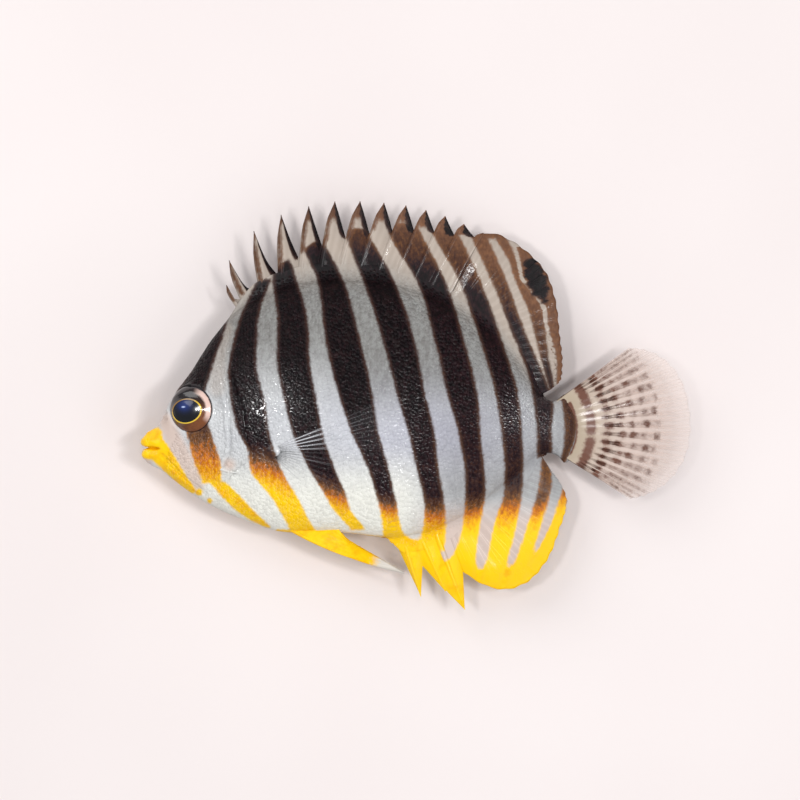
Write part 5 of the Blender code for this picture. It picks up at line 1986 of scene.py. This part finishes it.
@dataclass
class CheekSpines:
    """The spine at the lower corner of each cheek, pointing back."""

    root: tuple[float, float] = (-22.3, -6.9)
    tip: tuple[float, float] = (-19.95, -7.5)
    radius: float = 0.2
    lift: float = 0.26
    samples: int = 14

    def build(self, tubes: RayTubes, material: Material) -> Object:
        """Return both spines as one piece.

        Args:
            tubes: Maker of tapered tubes.
            material: Finish of the spines.

        Returns:
            The piece, on its body.
        """
        share = np.linspace(0, 1, self.samples)
        x = self.root[0] + (self.tip[0] - self.root[0]) * share
        y = self.root[1] + (self.tip[1] - self.root[1]) * share - 0.12 * np.sin(math.pi * share)
        out = FORM.flank(x, y) + self.lift * share - 0.12
        points = np.concatenate([
            np.stack([x, y, FORM.plane_z + side.value * out], -1) for side in Side
        ])
        edges = [(k + off, k + off + 1) for off in (0, self.samples)
                 for k in range(self.samples - 1)]
        girth = self.radius * (1 - share) ** 0.7 * ease(share, -0.08, 0.3) + 0.03
        pale = np.full(len(points), -1)
        fields = {**MARKS.read(points[:, 0], points[:, 1]), "gold": pale, "bar": pale,
                  "girth": np.tile(girth, 2)}
        made = tubes.from_lines("cheek_spines", points, edges, fields, material)
        return made


@dataclass
class Studio:
    """A pale floor, soft lights and a camera that looks straight down."""

    centre: tuple[float, float] = (-1.81, 0.63)
    frame_width: float = 90.16
    plane_z: float = 5.4
    lens: float = 200.0
    floor_size: float = 900.0

    def floor(self, material: Material) -> Object:
        """Return the floor."""
        side = np.linspace(-self.floor_size / 2, self.floor_size / 2, 9)
        x, y = np.meshgrid(side, side, indexing="ij")
        points = np.stack([x.ravel(), y.ravel(), np.zeros(x.size)], -1)
        made = mesh_piece("floor", points, grid_faces(9, 9), material=material)
        return made

    def lamp(self, name: str, place: tuple[float, float, float], size: float, power: float,
             tone: tuple[float, float, float] = (1, 1, 1)) -> None:
        """Add a square lamp that faces the fish.

        Args:
            name: Name of the lamp.
            place: Where it hangs.
            size: Side of the square.
            power: Its power in watts.
            tone: Colour of its light.
        """
        data = bpy.data.lights.new(name, "AREA")
        data.size, data.energy, data.color = size * MM, power, tone
        made = bpy.data.objects.new(name, data)
        made.location = [v * MM for v in place]
        direction = made.location - bpy.data.objects["floor"].location
        made.rotation_euler = direction.to_track_quat("Z", "Y").to_euler()
        bpy.context.scene.collection.objects.link(made)

    def lights(self) -> None:
        """Add the lamps and a soft surround."""
        self.lamp("soft_key", (-260, 240, 280), 300, 0.8)
        self.lamp("soft_fill", (300, -180, 260), 300, 0.47, (0.96, 0.98, 1))
        self.lamp("glint_front", (-125, 10, 380), 42, 0.34)
        self.lamp("glint_rear", (165, 10, 380), 38, 0.22)
        self.lamp("glint_fan", (152, -4, 434), 80, 0.44)
        self.lamp("glint_back", (12, 96, 465), 40, 0.16)
        self.lamp("glint_belly", (20, -110, 460), 36, 0.1)
        world = bpy.data.worlds.new("surround")
        world.use_nodes = True
        shade = world.node_tree.nodes["Background"].inputs
        shade["Color"].default_value = (0.93, 0.96, 1, 1)
        shade["Strength"].default_value = 0.32
        bpy.context.scene.world = world

    def camera(self) -> Object:
        """Return the camera, which looks down on the fish's left side."""
        bpy.context.scene.view_settings.view_transform = "Standard"
        data = bpy.data.cameras.new("camera")
        data.lens, data.sensor_width = self.lens, 36
        data.dof.use_dof = False
        height = self.plane_z + self.frame_width * self.lens / data.sensor_width
        data.clip_start, data.clip_end = 0.01, 5
        made = bpy.data.objects.new("camera", data)
        made.location = (self.centre[0] * MM, self.centre[1] * MM, height * MM)
        bpy.context.scene.collection.objects.link(made)
        bpy.context.scene.camera = made
        return made


SOFT_DORSAL_EDGE = (
    (7.5, 19.35), (8.6, 19.45), (10.2, 18.9), (12.7, 17.2), (14.6, 15.1), (15.7, 12),
    (16.2, 8), (16.5, 4.5), (16.2, 2.7), (15.3, 1.9),
)
SOFT_ANAL_EDGE = (
    (5.3, -18.75), (7.4, -20.1), (10, -20.75), (12.4, -20), (14.6, -17.7), (16.2, -13.9),
    (17, -10.5), (16.3, -8.8), (15, -7),
)
CLEAR, CLEAR_RAY = colour(226, 226, 230), colour(244, 244, 248)
FINISHES = (
    BarredFinish("wet_skin", matt=0.42, coat=0.6, specular=0.2),
    BarredFinish("wet_plates", matt=0.46, bump_mm=0.006, coat=1, dry_coat=0.03,
                 coat_roughness=0.05, specular=0.08, plates=True),
    BarredFinish("barred_membrane", matt=0.42, bump_mm=0.024, coat=0.9, dry_coat=0.03,
                 coat_roughness=0.05, specular=0.1, curls=0.9, rays=0.34, clear_edge=0.12),
    BarredFinish("barred_rays", matt=0.34, bump_mm=0.01, coat=0.8, specular=0.2),
    ClearFinish("spotted_clear_membrane", matt=0.5, bump_mm=0.05, root_alpha=0.95,
                edge_alpha=0.16, coat=0.8, dry_coat=0.03, coat_roughness=0.12, specular=0.12),
    ClearFinish("spotted_rays", matt=0.45, bump_mm=0.01, root_alpha=0.9, edge_alpha=0.1,
                coat=1, dry_coat=0.02, coat_roughness=0.14, specular=0.1),
    ClearFinish("clear_membrane", matt=0.12, bump_mm=0.02, root_alpha=0.02, edge_alpha=0.01,
                body=CLEAR, root=CLEAR, coat=0.6),
    ClearFinish("clear_rays", matt=0.12, bump_mm=0.01, root_alpha=0.4, edge_alpha=0.08,
                body=CLEAR_RAY, root=CLEAR_RAY, coat=0.8),
    EyeFinish("wet_eye", matt=0.2, glints=0.1, bump_mm=0.004, coat=0.6, coat_roughness=0.02),
    FloorFinish("pale_floor", matt=0.62, glints=0, bump_mm=0, coat=0),
)


def report(pieces: Sequence[Object]) -> None:
    """Log each piece with its number of triangles."""
    for piece in pieces:
        triangles = sum(len(p.vertices) - 2 for p in piece.data.polygons)
        LOG.info("%s: %d triangles", piece.name, triangles)


def main() -> None:
    """Build every piece of the fish and the studio, in order."""
    logging.basicConfig(level=logging.INFO, format="%(name)s: %(message)s")
    effects = Effects()
    looks = {finish.name: finish.make(effects) for finish in FINISHES}
    skin = Skin()
    report([skin.build(looks["wet_skin"])])
    report(ScaleCoat(skin).build(looks["wet_plates"]))
    report([Eye(side, skin.eye).build(looks["wet_eye"]) for side in Side])
    tubes = RayTubes()
    report([CheekSpines().build(tubes, looks["barred_rays"])])
    pelvic = {"half": 0.1, "root_half": 0.22, "ray_radius": (0.13, 0.04)}
    for fin in (
        SpinyDorsal("dorsal_front", "dorsal_fin_spiny", "fin_membrane"),
        SoftFin("dorsal_rear", "dorsal_fin_soft", "fin_membrane", edge=SOFT_DORSAL_EDGE),
        SpinyAnal("anal_front", "anal_fin_spiny", "yellow_fin"),
        SoftFin("anal_rear", "anal_fin_soft", "yellow_fin", contour=FORM.belly, up=-1,
                start_x=3.3, edge=SOFT_ANAL_EDGE, count=17),
        *(PelvicFin(f"pelvic_{side.word}", f"pelvic_fin_{side.word}", "yellow_fin", side=side,
                    **pelvic) for side in Side),
    ):
        report(fin.build(tubes, looks["barred_membrane"], looks["barred_rays"]))
    tail = CaudalFin("tail_fan", "caudal_fin", "clear_fin", rows=64, half=0.08, root_half=0.4,
                     ray_radius=(0.16, 0.06))
    report(tail.build(tubes, looks["spotted_clear_membrane"], looks["spotted_rays"]))
    thin = {"half": 0.05, "root_half": 0.1, "edge_half": 0.03, "ray_radius": (0.035, 0.02)}
    folded = {"side": Side.RIGHT, "spread": (-34, -6), "shorter": 1, "count": 12}
    for side, lie in ((Side.LEFT, {}), (Side.RIGHT, folded)):
        fin = PectoralFin(f"pectoral_{side.word}", f"pectoral_fin_{side.word}", "clear_fin",
                          **thin, **lie)
        report(fin.build(tubes, looks["clear_membrane"], looks["clear_rays"]))
    studio = Studio()
    studio.floor(looks["pale_floor"])
    studio.lights()
    studio.camera()


if __name__ == "__main__":
    main()
